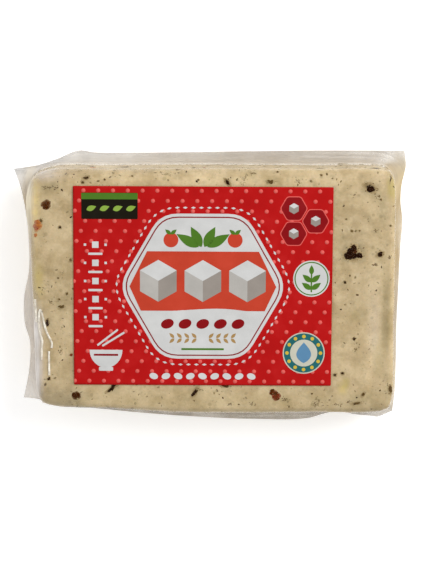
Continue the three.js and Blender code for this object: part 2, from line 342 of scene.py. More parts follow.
def block_outline():
    """Points on the block's outline at its widest, and the numbers of its four corner points."""
    half_length, half_width = BLOCK_LENGTH / 2, BLOCK_WIDTH / 2

    def front_at(x):
        return -half_width + FRONT_LEFT_TAPER * smoothstep(-x, 0, FRONT_TAPER_RUN)

    def left_at(y):
        return -half_length - LEFT_SIDE_LEAN * y / BLOCK_WIDTH

    front_left = (left_at(-half_width), front_at(-half_length))
    corners = [
        ((left_at(half_width), half_width), CORNER_RADII["back left"], (0, 1), (-1, 0)),
        (front_left, CORNER_RADII["front left"], (-1, 0), (0, -1)),
        ((half_length, -half_width), CORNER_RADII["front right"], (0, -1), (1, 0)),
        ((half_length, half_width), CORNER_RADII["back right"], (1, 0), (0, 1)),
    ]
    end_y = 14 * MM
    side_x = [-36 * MM, -12 * MM, 12 * MM, 36 * MM]
    sides = [
        (0, [(left_at(end_y), end_y), (left_at(-end_y), -end_y)]),
        (SIDE_BOW, [(x, front_at(x)) for x in side_x]),
        (SIDE_BOW, [(half_length, -end_y), (half_length, end_y)]),
        (SIDE_BOW, [(x, half_width) for x in reversed(side_x)]),
    ]
    points, corner_numbers = [], []
    for (at, radius, into, out), (bow, side) in zip(corners, sides):
        into, out = np.array(into), np.array(out)
        centre = np.array(at) - radius * (into + out)
        corner_numbers.append(len(points) + 1)
        for angle in (0, math.pi / 4, math.pi / 2):
            points.append(centre + radius * (into * math.cos(angle) + out * math.sin(angle)))
        for i, place in enumerate(side):
            proud = bow * math.sin(math.pi * (i + 1) / (len(side) + 1))
            points.append(np.array(place) + proud * out)
    return np.array(points), corner_numbers


def on_label(x, y):
    """A point of the label's own plan, from its middle, as a point of the frame."""
    cos, sin = math.cos(LABEL_TURN), math.sin(LABEL_TURN)
    middle = label_place()
    return middle[0] + x * cos - y * sin, middle[1] + x * sin + y * cos


def stations_round():
    """Stations round the pack: its outline with normals, the land under the label, and the skirt's rim."""
    outline, numbers = block_outline()
    spans = len(outline)
    half = np.array([LABEL_LENGTH / 2 + LAND_MARGIN, LABEL_WIDTH / 2 + LAND_MARGIN])
    lands = [np.array(on_label(*(half * sign))) for sign in ((-1, 1), (-1, -1), (1, -1), (1, 1))]
    rims = [np.array(rim) * MM for rim in (RIM_LEFT, RIM_FRONT, RIM_RIGHT, RIM_BACK)]
    found = {"block": [], "normal": [], "land": [], "rim": [], "round": []}
    for side, first in enumerate(numbers):
        last = numbers[side + 1] if side < 3 else numbers[0] + spans
        count = (last - first) * STATIONS_PER_SPAN
        places = np.linspace(first, last, count + 1) / spans
        points = curve_points(outline, True, places)
        lengths = np.concatenate([[0], np.cumsum(np.linalg.norm(np.diff(points, axis=0), axis=1))])
        along = (lengths / lengths[-1])[:-1]
        step = 1e-4
        tangent = curve_points(outline, True, places + step) - curve_points(outline, True, places - step)
        tangent /= np.linalg.norm(tangent, axis=1)[:, None]
        found["block"].append(points[:-1] + BLOCK_SHIFT)
        found["normal"].append(np.column_stack([tangent[:, 1], -tangent[:, 0]])[:-1])
        found["land"].append(lands[side] + along[:, None] * (lands[(side + 1) % 4] - lands[side]))
        found["rim"].append(even_points(rims[side], along) + BLOCK_SHIFT)
        found["round"].append((side + along) / 4)
    stations = SimpleNamespace(**{name: np.concatenate(parts) for name, parts in found.items()})
    steps = np.linalg.norm(np.roll(stations.block, -1, axis=0) - stations.block, axis=1)
    stations.length = np.concatenate([[0], np.cumsum(steps)[:-1]])
    return stations


def dent_depth(plan):
    depth = np.zeros(len(plan))
    for x, y, reach_x, reach_y, deep in DENTS:
        away = ((plan[:, 0] - BLOCK_SHIFT[0]) / MM - x) ** 2 / reach_x**2
        away += ((plan[:, 1] - BLOCK_SHIFT[1]) / MM - y) ** 2 / reach_y**2
        depth += deep * MM * np.exp(-away)
    return depth


def edge_radius(stations):
    """The rounding of the top edge, which is softest along the front."""
    across, along = stations.normal[:, 0], stations.normal[:, 1]
    radius = np.full(len(across), TOP_EDGE_RADIUS)
    for side, crisp in ((across, RIGHT_EDGE_RADIUS), (along, BACK_EDGE_RADIUS), (-across, LEFT_EDGE_RADIUS)):
        radius -= np.clip(side, 0, 1) ** 2 * (TOP_EDGE_RADIUS - crisp)
    return radius


def near_ears(stations, reach):
    """How near each station is to an ear, from 0 to 1; reach is a share of the way round."""
    return sum(np.exp(-(((stations.round - k / 4 + 0.5) % 1 - 0.5) / reach) ** 2) for k in range(4))


def ridges(stations):
    """Where the film gathers into small ridges, from 0 to 1, most near the ears and hardly along the back."""
    ears = near_ears(stations, 0.025)
    found = []
    for length in stations.length:
        fine = noise.noise(Vector((length / (2.3 * MM), 2.0, 31.0)))
        broad = noise.noise(Vector((length / (14 * MM), 5.0, 17.0)))
        found.append(max(0.0, fine + 0.35 * broad - 0.02))
    away = 1 - 0.9 * np.clip(stations.normal[:, 1], 0, 1) ** 2
    return np.clip(np.array(found) * 1.6 * (0.55 + 0.9 * ears) * away, 0, 1)


def seam_wave(round_share):
    turn = 2 * np.pi * round_share
    return SEAM_WAVE * (0.6 * np.sin(3 * turn + 0.8) + 0.4 * np.sin(7 * turn))


def swell(x, y):
    """The gentle rise and fall of the top face, which the tofu, the film and the label share."""
    x, y = np.asarray(x) / MM, np.asarray(y) / MM
    broad = 0.06 * np.sin(x / 9.1 + 0.6) * np.cos(y / 7.7 - 0.4)
    return MM * (broad + 0.04 * np.sin(x / 14.3 - y / 11.7 + 1.9))


def ring(plan, height):
    height = np.broadcast_to(height, (len(plan),))
    return np.column_stack([plan, height])


def top_rings(stations, inset):
    """Rings from inside the land out over the top edge to the foot of the edge's rounding."""
    radius = edge_radius(stations)

    def outset(distance):
        return stations.block + stations.normal * distance[:, None]

    middle = stations.land.mean(axis=0)
    rings = []
    for share in LAND_SHARES:
        plan = middle + share * (stations.land - middle)
        rings.append(ring(plan, LAND_HEIGHT - inset + swell(plan[:, 0], plan[:, 1])))
    crest = outset(-radius)
    crest_height = LAND_HEIGHT - EDGE_DROP - dent_depth(crest)
    for step in np.linspace(0, 1, SHOULDER_STEPS + 1)[1:]:
        plan = stations.land + step * (crest - stations.land)
        fall = EDGE_DROP * step**2 + dent_depth(plan) * math.sqrt(step)
        rings.append(ring(plan, LAND_HEIGHT - inset - fall + swell(plan[:, 0], plan[:, 1])))
    lift = swell(crest[:, 0], crest[:, 1])
    for angle in np.linspace(0, math.pi / 2, TOP_EDGE_STEPS + 1)[1:]:
        plan = outset(-radius + (radius - inset) * math.sin(angle))
        drop = radius - (radius - inset) * math.cos(angle)
        rings.append(ring(plan, crest_height - drop + lift * math.cos(angle)))
    return rings


def wall_ring(stations, height, inset):
    """The wall at a height, a little fuller at its middle."""
    low, high = BASE_EDGE_RADIUS, LAND_HEIGHT - EDGE_DROP - TOP_EDGE_RADIUS
    belly = WALL_BELLY * np.sin(np.pi * np.clip((height - low) / (high - low), 0, 1))
    return ring(stations.block + stations.normal * (belly - inset)[:, None], height)


def wall_rings(stations, top, low, steps, inset):
    """Rings on the wall at steps from 0 at the height of the top edge's last ring to 1 at the low height."""
    return [wall_ring(stations, top + (low - top) * step, inset) for step in steps]


def base_rings(stations, inset):
    """Rings round the base edge and in under the block."""
    rings = []
    for angle in np.linspace(0, math.pi / 2, BASE_EDGE_STEPS + 1):
        distance = -BASE_EDGE_RADIUS + (BASE_EDGE_RADIUS - inset) * math.cos(angle)
        height = BASE_EDGE_RADIUS - (BASE_EDGE_RADIUS - inset) * math.sin(angle)
        rings.append(ring(stations.block + stations.normal * distance, height))
    last = rings[-1][:, :2]
    middle = last.mean(axis=0)
    for share in BASE_SHARES:
        rings.append(ring(middle + share * (last - middle), inset))
    return rings


def skin(name, rings, **values):
    """A closed mesh over rings of equal count, with a value of each kind given for every ring point."""
    rings = np.array(rings)
    count, around = rings.shape[:2]
    hubs = [rings[0].mean(axis=0), rings[-1].mean(axis=0)]
    vertices = np.vstack([rings.reshape(-1, 3), hubs])
    first_hub, last_hub = len(vertices) - 2, len(vertices) - 1
    here = np.arange(around)
    after = (here + 1) % around
    faces = [(first_hub, a, b) for a, b in zip(here, after)]
    for i in range(count - 1):
        inner, outer = i * around, (i + 1) * around
        faces += list(zip(inner + here, outer + here, outer + after, inner + after))
    last = (count - 1) * around
    faces += [(last_hub, last + b, last + a) for a, b in zip(here, after)]
    mesh = mesh_of(name, vertices, faces)
    for kind, per_point in values.items():
        per_point = np.asarray(per_point, float)
        store(mesh, kind, np.concatenate([per_point.ravel(), [per_point[0].mean(), per_point[-1].mean()]]))
    return mesh


def store(mesh, kind, values):
    """Gives every point of a mesh a value of a kind."""
    mesh.attributes.new(kind, "FLOAT", "POINT").data.foreach_set("value", values)


def paint(mesh, kind, per_point):
    """Gives every ring point of a skin a colour, and the two hubs that of their rings."""
    rows = np.concatenate([per_point.reshape(-1, 3), [per_point[0].mean(axis=0), per_point[-1].mean(axis=0)]])
    rows = np.column_stack([rows, np.ones(len(rows))])
    mesh.attributes.new(kind, "FLOAT_COLOR", "POINT").data.foreach_set("color", rows.ravel())


def mesh_of(name, vertices, faces):
    mesh = bpy.data.meshes.new(name)
    mesh.from_pydata(np.asarray(vertices).tolist(), [], [tuple(int(i) for i in f) for f in faces])
    mesh.shade_smooth()
    mesh.update()
    return mesh


def relieve(mesh, relief, shares):
    """Moves each point of a mesh along its normal by a relief in metres, times its share."""
    count = len(mesh.vertices)
    places, normals = np.empty(count * 3), np.empty(count * 3)
    mesh.vertices.foreach_get("co", places)
    mesh.vertices.foreach_get("normal", normals)
    places, normals = places.reshape(-1, 3), normals.reshape(-1, 3)
    moves = np.array([relief(Vector(p)) for p in places]) * shares
    mesh.vertices.foreach_set("co", (places + normals * moves[:, None]).ravel())
    mesh.update()


def curd_relief(point):
    """The uneven pressed surface of the curd: soft waves, lumps and grain."""
    waves = 0.09 * noise.noise(point / (13 * MM) + Vector((3.1, 0, 0)))
    lumps = 0.07 * noise.noise(point / (4.2 * MM) + Vector((0, 7.7, 0)))
    grain = 0.03 * noise.noise(point / (1.5 * MM))
    return (waves + lumps + grain) * MM


# ---- Small helpers ---------------------------------------


def settings():
    return bpy.context.scene.tofu_pack


def piece(name, mesh, materials, replaces=()):
    """A finished piece of the pack, riding on its one body."""
    old = bpy.data.objects.get(name)
    if old is not None:
        bpy.data.objects.remove(old, do_unlink=True)
    made = bpy.data.objects.new(name, mesh)
    bpy.context.scene.collection.objects.link(made)
    mesh.materials.clear()
    for material in materials:
        mesh.materials.append(material)
    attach(made, "root")
    for node in replaces:
        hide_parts(node)
    return made


def needed(name):
    found = bpy.data.objects.get(name)
    if found is None:
        raise RuntimeError(f"make {name} first")
    return found


def node(tree, kind, inputs=None, **options):
    """A new node with its options set and its inputs given as values or as sockets to link from."""
    made = tree.nodes.new(kind)
    for name, value in options.items():
        setattr(made, name, value)
    for name, value in (inputs or {}).items():
        socket = made.inputs[name]
        if isinstance(value, bpy.types.NodeSocket):
            tree.links.new(value, socket)
        else:
            socket.default_value = value
    return made


def maths(tree, operation, first, second=0.0, clamp=False):
    made = node(tree, "ShaderNodeMath", {0: first, 1: second}, operation=operation, use_clamp=clamp)
    return made.outputs[0]


def times(tree, first, *factors):
    for factor in factors:
        first = maths(tree, "MULTIPLY", first, factor)
    return first


def plus(tree, first, second, clamp=False):
    return maths(tree, "ADD", first, second, clamp)


def minus(tree, first, second):
    return maths(tree, "SUBTRACT", first, second)


def split(tree, vector):
    """The three parts of a vector."""
    return node(tree, "ShaderNodeSeparateXYZ", {0: vector}).outputs


def joined(tree, x=0.0, y=0.0, z=0.0):
    """A vector from its three parts."""
    return node(tree, "ShaderNodeCombineXYZ", {0: x, 1: y, 2: z}).outputs[0]


def vector_maths(tree, operation, first, second):
    return node(tree, "ShaderNodeVectorMath", {0: first, 1: second}, operation=operation).outputs[0]


def new_material(name):
    """An empty node material and its output node."""
    old = bpy.data.materials.get(name)
    if old is not None:
        bpy.data.materials.remove(old)
    material = bpy.data.materials.new(name)
    material.use_nodes = True
    tree = material.node_tree
    tree.nodes.clear()
    return material, tree, tree.nodes.new("ShaderNodeOutputMaterial")


def ramp(tree, factor, stops):
    """A colour ramp from (place, colour) stops."""
    made = node(tree, "ShaderNodeValToRGB", {"Fac": factor})
    elements = made.color_ramp.elements
    while len(elements) < len(stops):
        elements.new(0.5)
    for element, (place, colour) in zip(elements, stops):
        element.position = place
        element.color = (*colour, 1)
    return made.outputs["Color"]


def noise_of(tree, coordinates, feature, detail=3.0, roughness=0.5, output="Fac"):
    """Noise whose features are about this many metres across, as a value or as a colour."""
    inputs = {"Vector": coordinates, "Scale": 1 / feature, "Detail": detail, "Roughness": roughness}
    return node(tree, "ShaderNodeTexNoise", inputs).outputs[output]


def blend_colour(tree, factor, first, second, kind="MIX"):
    made = node(tree, "ShaderNodeMix", data_type="RGBA", blend_type=kind)
    for socket, value in ((made.inputs[0], factor), (made.inputs[6], first), (made.inputs[7], second)):
        if isinstance(value, bpy.types.NodeSocket):
            tree.links.new(value, socket)
        else:
            socket.default_value = value if isinstance(value, float) else (*value, 1)
    return made.outputs[2]


def bump_of(tree, height, strength, distance):
    inputs = {"Height": height, "Strength": strength, "Distance": distance}
    return node(tree, "ShaderNodeBump", inputs).outputs[0]


def principled(tree, inputs):
    return node(tree, "ShaderNodeBsdfPrincipled", inputs).outputs[0]


def mixed(tree, factor, first, second):
    return node(tree, "ShaderNodeMixShader", {0: factor, 1: first, 2: second}).outputs[0]


def object_coordinates(tree):
    return node(tree, "ShaderNodeTexCoord").outputs["Object"]


def attribute(tree, name):
    return node(tree, "ShaderNodeAttribute", attribute_name=name).outputs["Fac"]


def between(tree, value, low, high, to_low=0.0, to_high=1.0):
    inputs = {"Value": value, "From Min": low, "From Max": high, "To Min": to_low, "To Max": to_high}
    return node(tree, "ShaderNodeMapRange", inputs).outputs["Result"]


def new_tree(name, sockets):
    """A geometry node tree with these named inputs: the tree, its inputs and its output node."""
    tree = bpy.data.node_groups.new(name, "GeometryNodeTree")
    for label, kind in sockets.items():
        tree.interface.new_socket(name=label, in_out="INPUT", socket_type=f"NodeSocket{kind}")
    tree.interface.new_socket(name="Geometry", in_out="OUTPUT", socket_type="NodeSocketGeometry")
    return tree, tree.nodes.new("NodeGroupInput").outputs, tree.nodes.new("NodeGroupOutput")


def geometry_node(tree, kind, geometry, inputs=None, **options):
    """A node that changes a geometry, by what it gives out."""
    return node(tree, f"GeometryNode{kind}", {"Geometry": geometry, **(inputs or {})}, **options).outputs[0]


def run_tree(holder, tree, inputs):
    """Runs a node tree on an object and returns what it makes as a plain mesh."""
    modifier = holder.modifiers.new("Nodes", "NODES")
    modifier.node_group = tree
    for item in tree.interface.items_tree:
        if item.item_type == "SOCKET" and item.in_out == "INPUT" and item.name in inputs:
            modifier[item.identifier] = inputs[item.name]
    graph = bpy.context.evaluated_depsgraph_get()
    mesh = bpy.data.meshes.new_from_object(holder.evaluated_get(graph))
    holder.modifiers.remove(modifier)
    if not mesh.polygons:
        raise RuntimeError(f"{tree.name} made nothing")
    return mesh


def finish_tree(tree, output, geometry, material):
    """Realizes the instances, smooths and paints them, and sends them out."""
    realized = geometry_node(tree, "RealizeInstances", geometry)
    smooth = geometry_node(tree, "SetShadeSmooth", realized)
    tree.links.new(geometry_node(tree, "SetMaterial", smooth, {"Material": material}), output.inputs[0])


def holder_of(mesh):
    made = bpy.data.objects.new("holder", mesh)
    bpy.context.scene.collection.objects.link(made)
    return made


def surface_under(obj):
    """A tree for finding places on a piece: along a ray, or nearest to a point."""
    mesh = obj.data
    places = [v.co.copy() for v in mesh.vertices]
    return BVHTree.FromPolygons(places, [tuple(p.vertices) for p in mesh.polygons])


# ---- Materials -------------------------------------------


# Two sizes of fine specks: cell of the pattern, chance from which a cell has one, size and strength.
SPECKS = [(2.6 * MM, 0.66, 0.34, 0.34), (1.2 * MM, 0.6, 0.32, 0.4)]


def tofu_material():
    """Moist cream curd: mottled, with a faint grain and fine specks just under the surface."""
    tofu = settings().tofu
    material, tree, output = new_material("moist curd")
    coordinates = object_coordinates(tree)
    patches = noise_of(tree, coordinates, 17 * MM, 4, 0.55)
    colour = ramp(tree, patches, [(0.34, tofu.shade_colour), (0.5, tofu.colour), (0.68, tofu.light_colour)])
    clouds = between(tree, noise_of(tree, coordinates, 4.6 * MM, 4, 0.6), 0.42, 0.68, 0.0, 0.85)
    colour = blend_colour(tree, clouds, colour, tofu.light_colour)
    smudges = between(tree, noise_of(tree, coordinates, 3.6 * MM, 5, 0.68), 0.5, 0.7, 0.0, 0.5)
    colour = blend_colour(tree, smudges, colour, tofu.smudge_colour)
    for cell, share, reach, strength in SPECKS:
        specks = node(tree, "ShaderNodeTexVoronoi", {"Vector": coordinates, "Scale": 1 / cell})
        chance = node(tree, "ShaderNodeSeparateColor", {"Color": specks.outputs["Color"]}).outputs[0]
        size = between(tree, chance, share, 1.0, 0.0, reach)
        inside = minus(tree, size, specks.outputs["Distance"])
        spots = between(tree, inside, 0.0, 0.1, 0.0, strength)
        colour = blend_colour(tree, spots, colour, tofu.speck_colour)
    crumb = between(tree, noise_of(tree, coordinates, 0.75 * MM, 3, 0.6), 0.3, 0.7, 0.93, 1.05)
    colour = blend_colour(tree, 1.0, colour, crumb, "MULTIPLY")
    uneven = between(tree, noise_of(tree, coordinates, 3.4 * MM, 3, 0.6), 0.3, 0.7, 0.45, 1.35)
    yellow = times(tree, attribute(tree, "yellow"), uneven)
    colour = blend_colour(tree, yellow, colour, tofu.whey_colour)
    # The shade attribute darkens or pales the curd: real stains, and painted shade and highlights at the
    # grooves, dents and edges.
    depth = times(tree, attribute(tree, "shade"), uneven)
    colour = blend_colour(tree, 1.0, colour, between(tree, depth, -1.4, 1.4, 1.34, 0.66), "MULTIPLY")
    grain = noise_of(tree, coordinates, 0.5 * MM, 2)
    lumps = noise_of(tree, coordinates, 2.2 * MM, 3)
    height = plus(tree, times(tree, grain, 0.3), lumps)
    shader = principled(tree, {
        "Base Color": colour,
        "Roughness": between(tree, lumps, 0.3, 0.7, 0.42, 0.58),
        "Normal": bump_of(tree, height, 0.35, 0.12 * MM),
        "Subsurface Weight": 0.18,
        "Subsurface Radius": (1.0, 0.6, 0.25),
        "Subsurface Scale": 2.5 * MM,
    })
    tree.links.new(shader, output.inputs[0])
    return material


def bits_material(name, stops, roughness, grain_size, spread):
    """Dried bits whose colour follows their tone and fades into the curd at their edge, with a fine grain."""
    material, tree, output = new_material(name)
    coordinates = object_coordinates(tree)
    grain = noise_of(tree, coordinates, grain_size, 3, 0.6)
    edge = attribute(tree, "edge")
    tone = plus(tree, attribute(tree, "tone"), between(tree, grain, 0.3, 0.7, -spread, spread))
    tone = plus(tree, tone, times(tree, edge, 0.2), clamp=True)
    ragged = between(tree, noise_of(tree, coordinates, 0.6 * grain_size, 2, 0.6), 0.3, 0.7, -0.28, 0.28)
    fade = plus(tree, edge, times(tree, ragged, between(tree, edge, 0.0, 0.3)), clamp=True)
    stain = tuple(0.92 * c for c in settings().tofu.colour)
    shader = principled(tree, {
        "Base Color": blend_colour(tree, fade, ramp(tree, tone, stops), stain),
        "Roughness": roughness,
        "Normal": bump_of(tree, grain, 0.5, 0.1 * MM),
        "Specular IOR Level": 0.02,
    })
    tree.links.new(shader, output.inputs[0])
    return material


# Streaks of the haze on the sealed skirt, along the seam and across it.
STREAK_LENGTH = 18 * MM
STREAK_WIDTH = 0.8 * MM


def film_material():
    """Clear pouch film: see-through and glossy on the block, hazy and streaked where it is sealed."""
    film = settings().film
    material, tree, output = new_material("clear pouch film")
    coordinates = object_coordinates(tree)
    cloud = between(tree, noise_of(tree, coordinates, 9 * MM, 3), 0.3, 0.7, 0.8, 1.2)
    along = maths(tree, "DIVIDE", attribute(tree, "around"), STREAK_LENGTH)
    across = maths(tree, "DIVIDE", attribute(tree, "outward"), STREAK_WIDTH)
    streaks = between(tree, noise_of(tree, joined(tree, along, across), 1.0, 2), 0.3, 0.7, 0.84, 1.16)
    fog = times(tree, attribute(tree, "haze"), cloud, streaks)
    fog = plus(tree, fog, film.haze_on_block, clamp=True)
    tint = node(tree, "ShaderNodeAttribute", attribute_name="tint").outputs["Color"]
    ripple = noise_of(tree, coordinates, 2.6 * MM, 2)
    bump = bump_of(tree, ripple, 0.3, 0.15 * MM)
    facing = node(tree, "ShaderNodeLayerWeight", {"Blend": 0.5, "Normal": bump}).outputs["Facing"]
    mirror = times(tree, maths(tree, "POWER", facing, 5.0), 0.5)
    mirror = plus(tree, mirror, 0.005, clamp=True)
    through = node(tree, "ShaderNodeBsdfTransparent", {"Color": (0.985, 0.98, 0.965, 1)}).outputs[0]
    gloss_inputs = {"Color": (1, 1, 1, 1), "Roughness": 0.12, "Normal": bump}
    gloss = node(tree, "ShaderNodeBsdfAnisotropic", gloss_inputs)
    clear = mixed(tree, mirror, through, gloss.outputs[0])
    haze_inputs = {"Base Color": tint, "Roughness": 0.34, "Specular IOR Level": 0.08, "Normal": bump}
    haze = principled(tree, haze_inputs)
    tree.links.new(mixed(tree, fog, clear, haze), output.inputs[0])
    return material


def fold_material():
    """Film pinched into a sharp fold: several layers together and glossy, pale from its layers and painted
    near white as the glint along the fold.
    """
    material, tree, output = new_material("pinched film")
    coordinates = object_coordinates(tree)
    cloud = between(tree, noise_of(tree, coordinates, 2.2 * MM, 3), 0.32, 0.68, 0.3, 0.95)
    through = node(tree, "ShaderNodeBsdfTransparent", {"Color": (0.98, 0.97, 0.95, 1)}).outputs[0]
    bright = principled(tree, {"Base Color": (*settings().film.fold_glint_colour, 1), "Roughness": 0.14})
    tree.links.new(mixed(tree, cloud, through, bright), output.inputs[0])
    return material


def paper_material(name, colour, roughness=0.42, spread=0.07):
    """Satin printing on paper, with the faint unevenness of ink and fibre."""
    material, tree, output = new_material(name)
    coordinates = object_coordinates(tree)
    dark = tuple(c * (1 - spread) for c in colour)
    light = tuple(min(1, c * (1 + spread) + 0.004) for c in colour)
    blotch = noise_of(tree, coordinates, 7 * MM, 4, 0.6)
    shade = ramp(tree, blotch, [(0.3, dark), (0.5, colour), (0.72, light)])
    fibre = noise_of(tree, coordinates, 0.35 * MM, 2)
    shader = principled(tree, {
        "Base Color": shade,
        "Roughness": between(tree, fibre, 0.3, 0.7, roughness - 0.05, roughness + 0.06),
        "Normal": bump_of(tree, fibre, 0.12, 0.03 * MM),
        "Specular IOR Level": 0.05,
    })
    tree.links.new(shader, output.inputs[0])
    return material


# ---- Flat print ------------------------------------------


def filled(outline, spacing):
    """Points and triangles that fill an outline in plan, in millimetres, with inner points this far apart."""
    points = [Vector(p) for p in outline]
    edges = [(i, (i + 1) % len(points)) for i in range(len(points))]
    plan = np.array(outline)
    low, high = plan.min(axis=0), plan.max(axis=0)
    for x in np.arange(low[0] + spacing / 2, high[0], spacing):
        points += [Vector((x, y)) for y in np.arange(low[1] + spacing / 2, high[1], spacing)]
    corners, _, triangles, *_ = delaunay_2d_cdt(points, edges, [], 1, 1e-4)
    used = sorted({i for t in triangles for i in t})
    renumber = {old: new for new, old in enumerate(used)}
    plan = np.array([corners[i] for i in used])
    turned = []
    for t in triangles:
        a, b, c = (renumber[i] for i in t)
        area = np.cross(plan[b] - plan[a], plan[c] - plan[a])
        turned.append((a, b, c) if area > 0 else (a, c, b))
    return plan, turned


def label_height(plan):
    """The height of the label's face over points of the frame."""
    return LAND_HEIGHT - LABEL_INSET + swell(plan[:, 0], plan[:, 1])


def slab(outline, rise, thickness, spacing):
    """A thin closed slab over an outline in millimetres, its face this far above the face of the paper."""
    plan, triangles = filled(outline, spacing)
    spots = np.column_stack(on_label(plan[:, 0] * MM, plan[:, 1] * MM))
    top = ring(spots, label_height(spots) + rise)
    base = top - [0, 0, thickness]
    count = len(top)
    sides = {(a, b) for t in triangles for a, b in ((t[0], t[1]), (t[1], t[2]), (t[2], t[0]))}
    walls = [(a, a + count, b + count, b) for a, b in sorted(sides) if (b, a) not in sides]
    under = [(c + count, b + count, a + count) for a, b, c in triangles]
    return np.vstack([top, base]), triangles, under + walls


def placed(points, x, y, turn):
    """Points in plan turned by degrees and then moved to x, y."""
    cos, sin = math.cos(math.radians(turn)), math.sin(math.radians(turn))
    return [(x + u * cos - v * sin, y + u * sin + v * cos) for u, v in points]


def oval(x, y, width, height, turn=0.0, count=40):
    """An ellipse by its full width and height, turned in degrees."""
    angles = [2 * math.pi * i / count for i in range(count)]
    return placed([(width / 2 * math.cos(a), height / 2 * math.sin(a)) for a in angles], x, y, turn)


def rounded(points, radius, steps=5):
    """A polygon, anticlockwise, with its corners rounded."""
    made = []
    for i, corner in enumerate(points):
        corner = np.array(corner, float)
        before, after = np.array(points[i - 1], float), np.array(points[(i + 1) % len(points)], float)
        into = (before - corner) / np.linalg.norm(before - corner)
        out = (after - corner) / np.linalg.norm(after - corner)
        start, end = corner + into * radius, corner + out * radius
        for t in np.linspace(0, 1, steps + 1):
            made.append(tuple((1 - t) ** 2 * start + 2 * t * (1 - t) * corner + t**2 * end))
    return made


def bar(x, y, width, height, radius=0.3, turn=0.0):
    """A bar with rounded corners."""
    corners = [(i * width / 2, j * height / 2) for i, j in ((-1, -1), (1, -1), (1, 1), (-1, 1))]
    return rounded(placed(corners, x, y, turn), radius, 4)


def leaf(x, y, length, width, turn):
    """A pointed leaf whose stalk end is at x, y."""
    edge = [(t, math.sin(math.pi * t**0.8) * width / 2) for t in np.linspace(0, 1, 14)]
    points = [(t * length, -half) for t, half in edge] + [(t * length, half) for t, half in edge[-2:0:-1]]
    return placed(points, x, y, turn)


def hexagon(x, y, reach, radius):
    """A hexagon with a corner to each side and rounded corners; reach is from its middle to a corner."""
    corners = [(x + reach * math.cos(math.radians(60 * k)), y + reach * math.sin(math.radians(60 * k)))
               for k in range(6)]
    return rounded(corners, radius)


def cube_faces(x, y, edge):
    """The three faces of a small cube seen from above a corner: top, left and right."""
    wide, half = edge * math.cos(math.radians(30)), edge / 2
    middle, up, down = (x, y), (x, y + edge), (x, y - edge)
    left_up, left_down = (x - wide, y + half), (x - wide, y - half)
    right_up, right_down = (x + wide, y + half), (x + wide, y - half)
    top = [middle, right_up, up, left_up]
    return top, [middle, left_up, left_down, down], [middle, down, right_down, right_up]


def inked(ink, layer, *outlines):
    """Shapes in one ink on one layer, as (ink, layer, outline in millimetres from the label's middle)."""
    return [(ink, layer, outline) for outline in outlines]


def badge():
    """The badge in the middle: a white hexagon with a coral band, three cubes, leaves, tomatoes and beans."""
    shapes = inked("white", 1, hexagon(0, 0, 29.6, 6))
    shapes += inked("crimson", 2, hexagon(0, 0, 28.4, 5.5))
    shapes += inked("white", 3, hexagon(0, 0, 27.9, 5.3))
    band_reach, low, high, notch = 26.7, -8.6, 12.4, 1

    def half_width(y):
        return band_reach - abs(y) / math.tan(math.radians(60))

    shapes += inked("coral", 4, [
        (-half_width(low), low), (half_width(low), low), (half_width(0) - notch, 0),
        (half_width(high), high), (-half_width(high), high), (-half_width(0) + notch, 0),
    ])
    for x in (-15.6, 0, 15.6):
        top, left, right = cube_faces(x, 2.0, 7.4)
        shapes += inked("white", 5, top) + inked("grey", 5, left) + inked("shade", 5, right)
    for x, turn, length in ((-1.5, 150, 9), (1.5, 30, 9), (-0.5, 118, 8), (0.5, 62, 8)):
        shapes += inked("leaf", 4, leaf(x, 14.0, length, 3.4, turn))
    for x in (-11.2, 11.2):
        shapes += inked("coral", 4, oval(x, 16.4, 5.2, 5.2))
        shapes += inked("leaf", 5, *(leaf(x, 18.4, 2.6, 1.3, turn) for turn in (40, 140)))
    for k in range(5):
        shapes += inked("crimson", 4, oval((k - 2) * 6.2, -13.2, 4.6, 3.3, 20))
    for side in (-1, 1):
        for k in range(4):
            x = side * (2.2 + 2.6 * k)
            shapes += inked("ochre", 4, leaf(x, -18.2, 2.4, 1.1, 90 - side * 45))
            shapes += inked("ochre", 4, leaf(x, -18.4, 2.4, 1.1, -90 + side * 45))
    return shapes + inked("leaf", 4, bar(0, -22.2, 15, 0.7, 0.3))


def lozenge_string():
    """A string of small lozenges round the badge."""
    around, count, ahead = hexagon(0, 0, 32.0, 7), 66, 0.3
    path = np.array(around + around[:1])
    lengths = np.concatenate([[0], np.cumsum(np.linalg.norm(np.diff(path, axis=0), axis=1))])
    shapes = []
    for at in np.linspace(0, lengths[-1], count + 1)[:-1]:
        x, y = (float(np.interp(at, lengths, path[:, k])) for k in range(2))
        next_x, next_y = (float(np.interp((at + ahead) % lengths[-1], lengths, path[:, k])) for k in range(2))
        turn = math.degrees(math.atan2(next_y - y, next_x - x))
        shapes += inked("white", 1, oval(x, y, 1.7, 0.8, turn, 4))
    return shapes


def leaf_panel():
    """Top left: a dark panel with a green band and a row of leaves."""
    x = -32.6
    shapes = inked("black", 1, bar(x, 28.2, 19.6, 9.2, 0.4)) + inked("leaf", 2, bar(x, 31.6, 19.6, 2.2, 0.3))
    return shapes + inked("lime", 2, *(leaf(-40.6 + 4.6 * k, 26.8, 3.6, 1.9, 20) for k in range(4)))


def cells():
    """Top right: three outlined cells with a cube in each."""
    shapes = []
    for x, y in ((31.6, 27.6), (39.2, 23.2), (31.6, 18.8)):
        shapes += inked("dot", 1, hexagon(x, y, 4.9, 0.9)) + inked("crimson", 2, hexagon(x, y, 4.55, 0.8))
        top, *sides = cube_faces(x, y, 1.9)
        shapes += inked("white", 3, top) + inked("shade", 3, *sides)
    return shapes


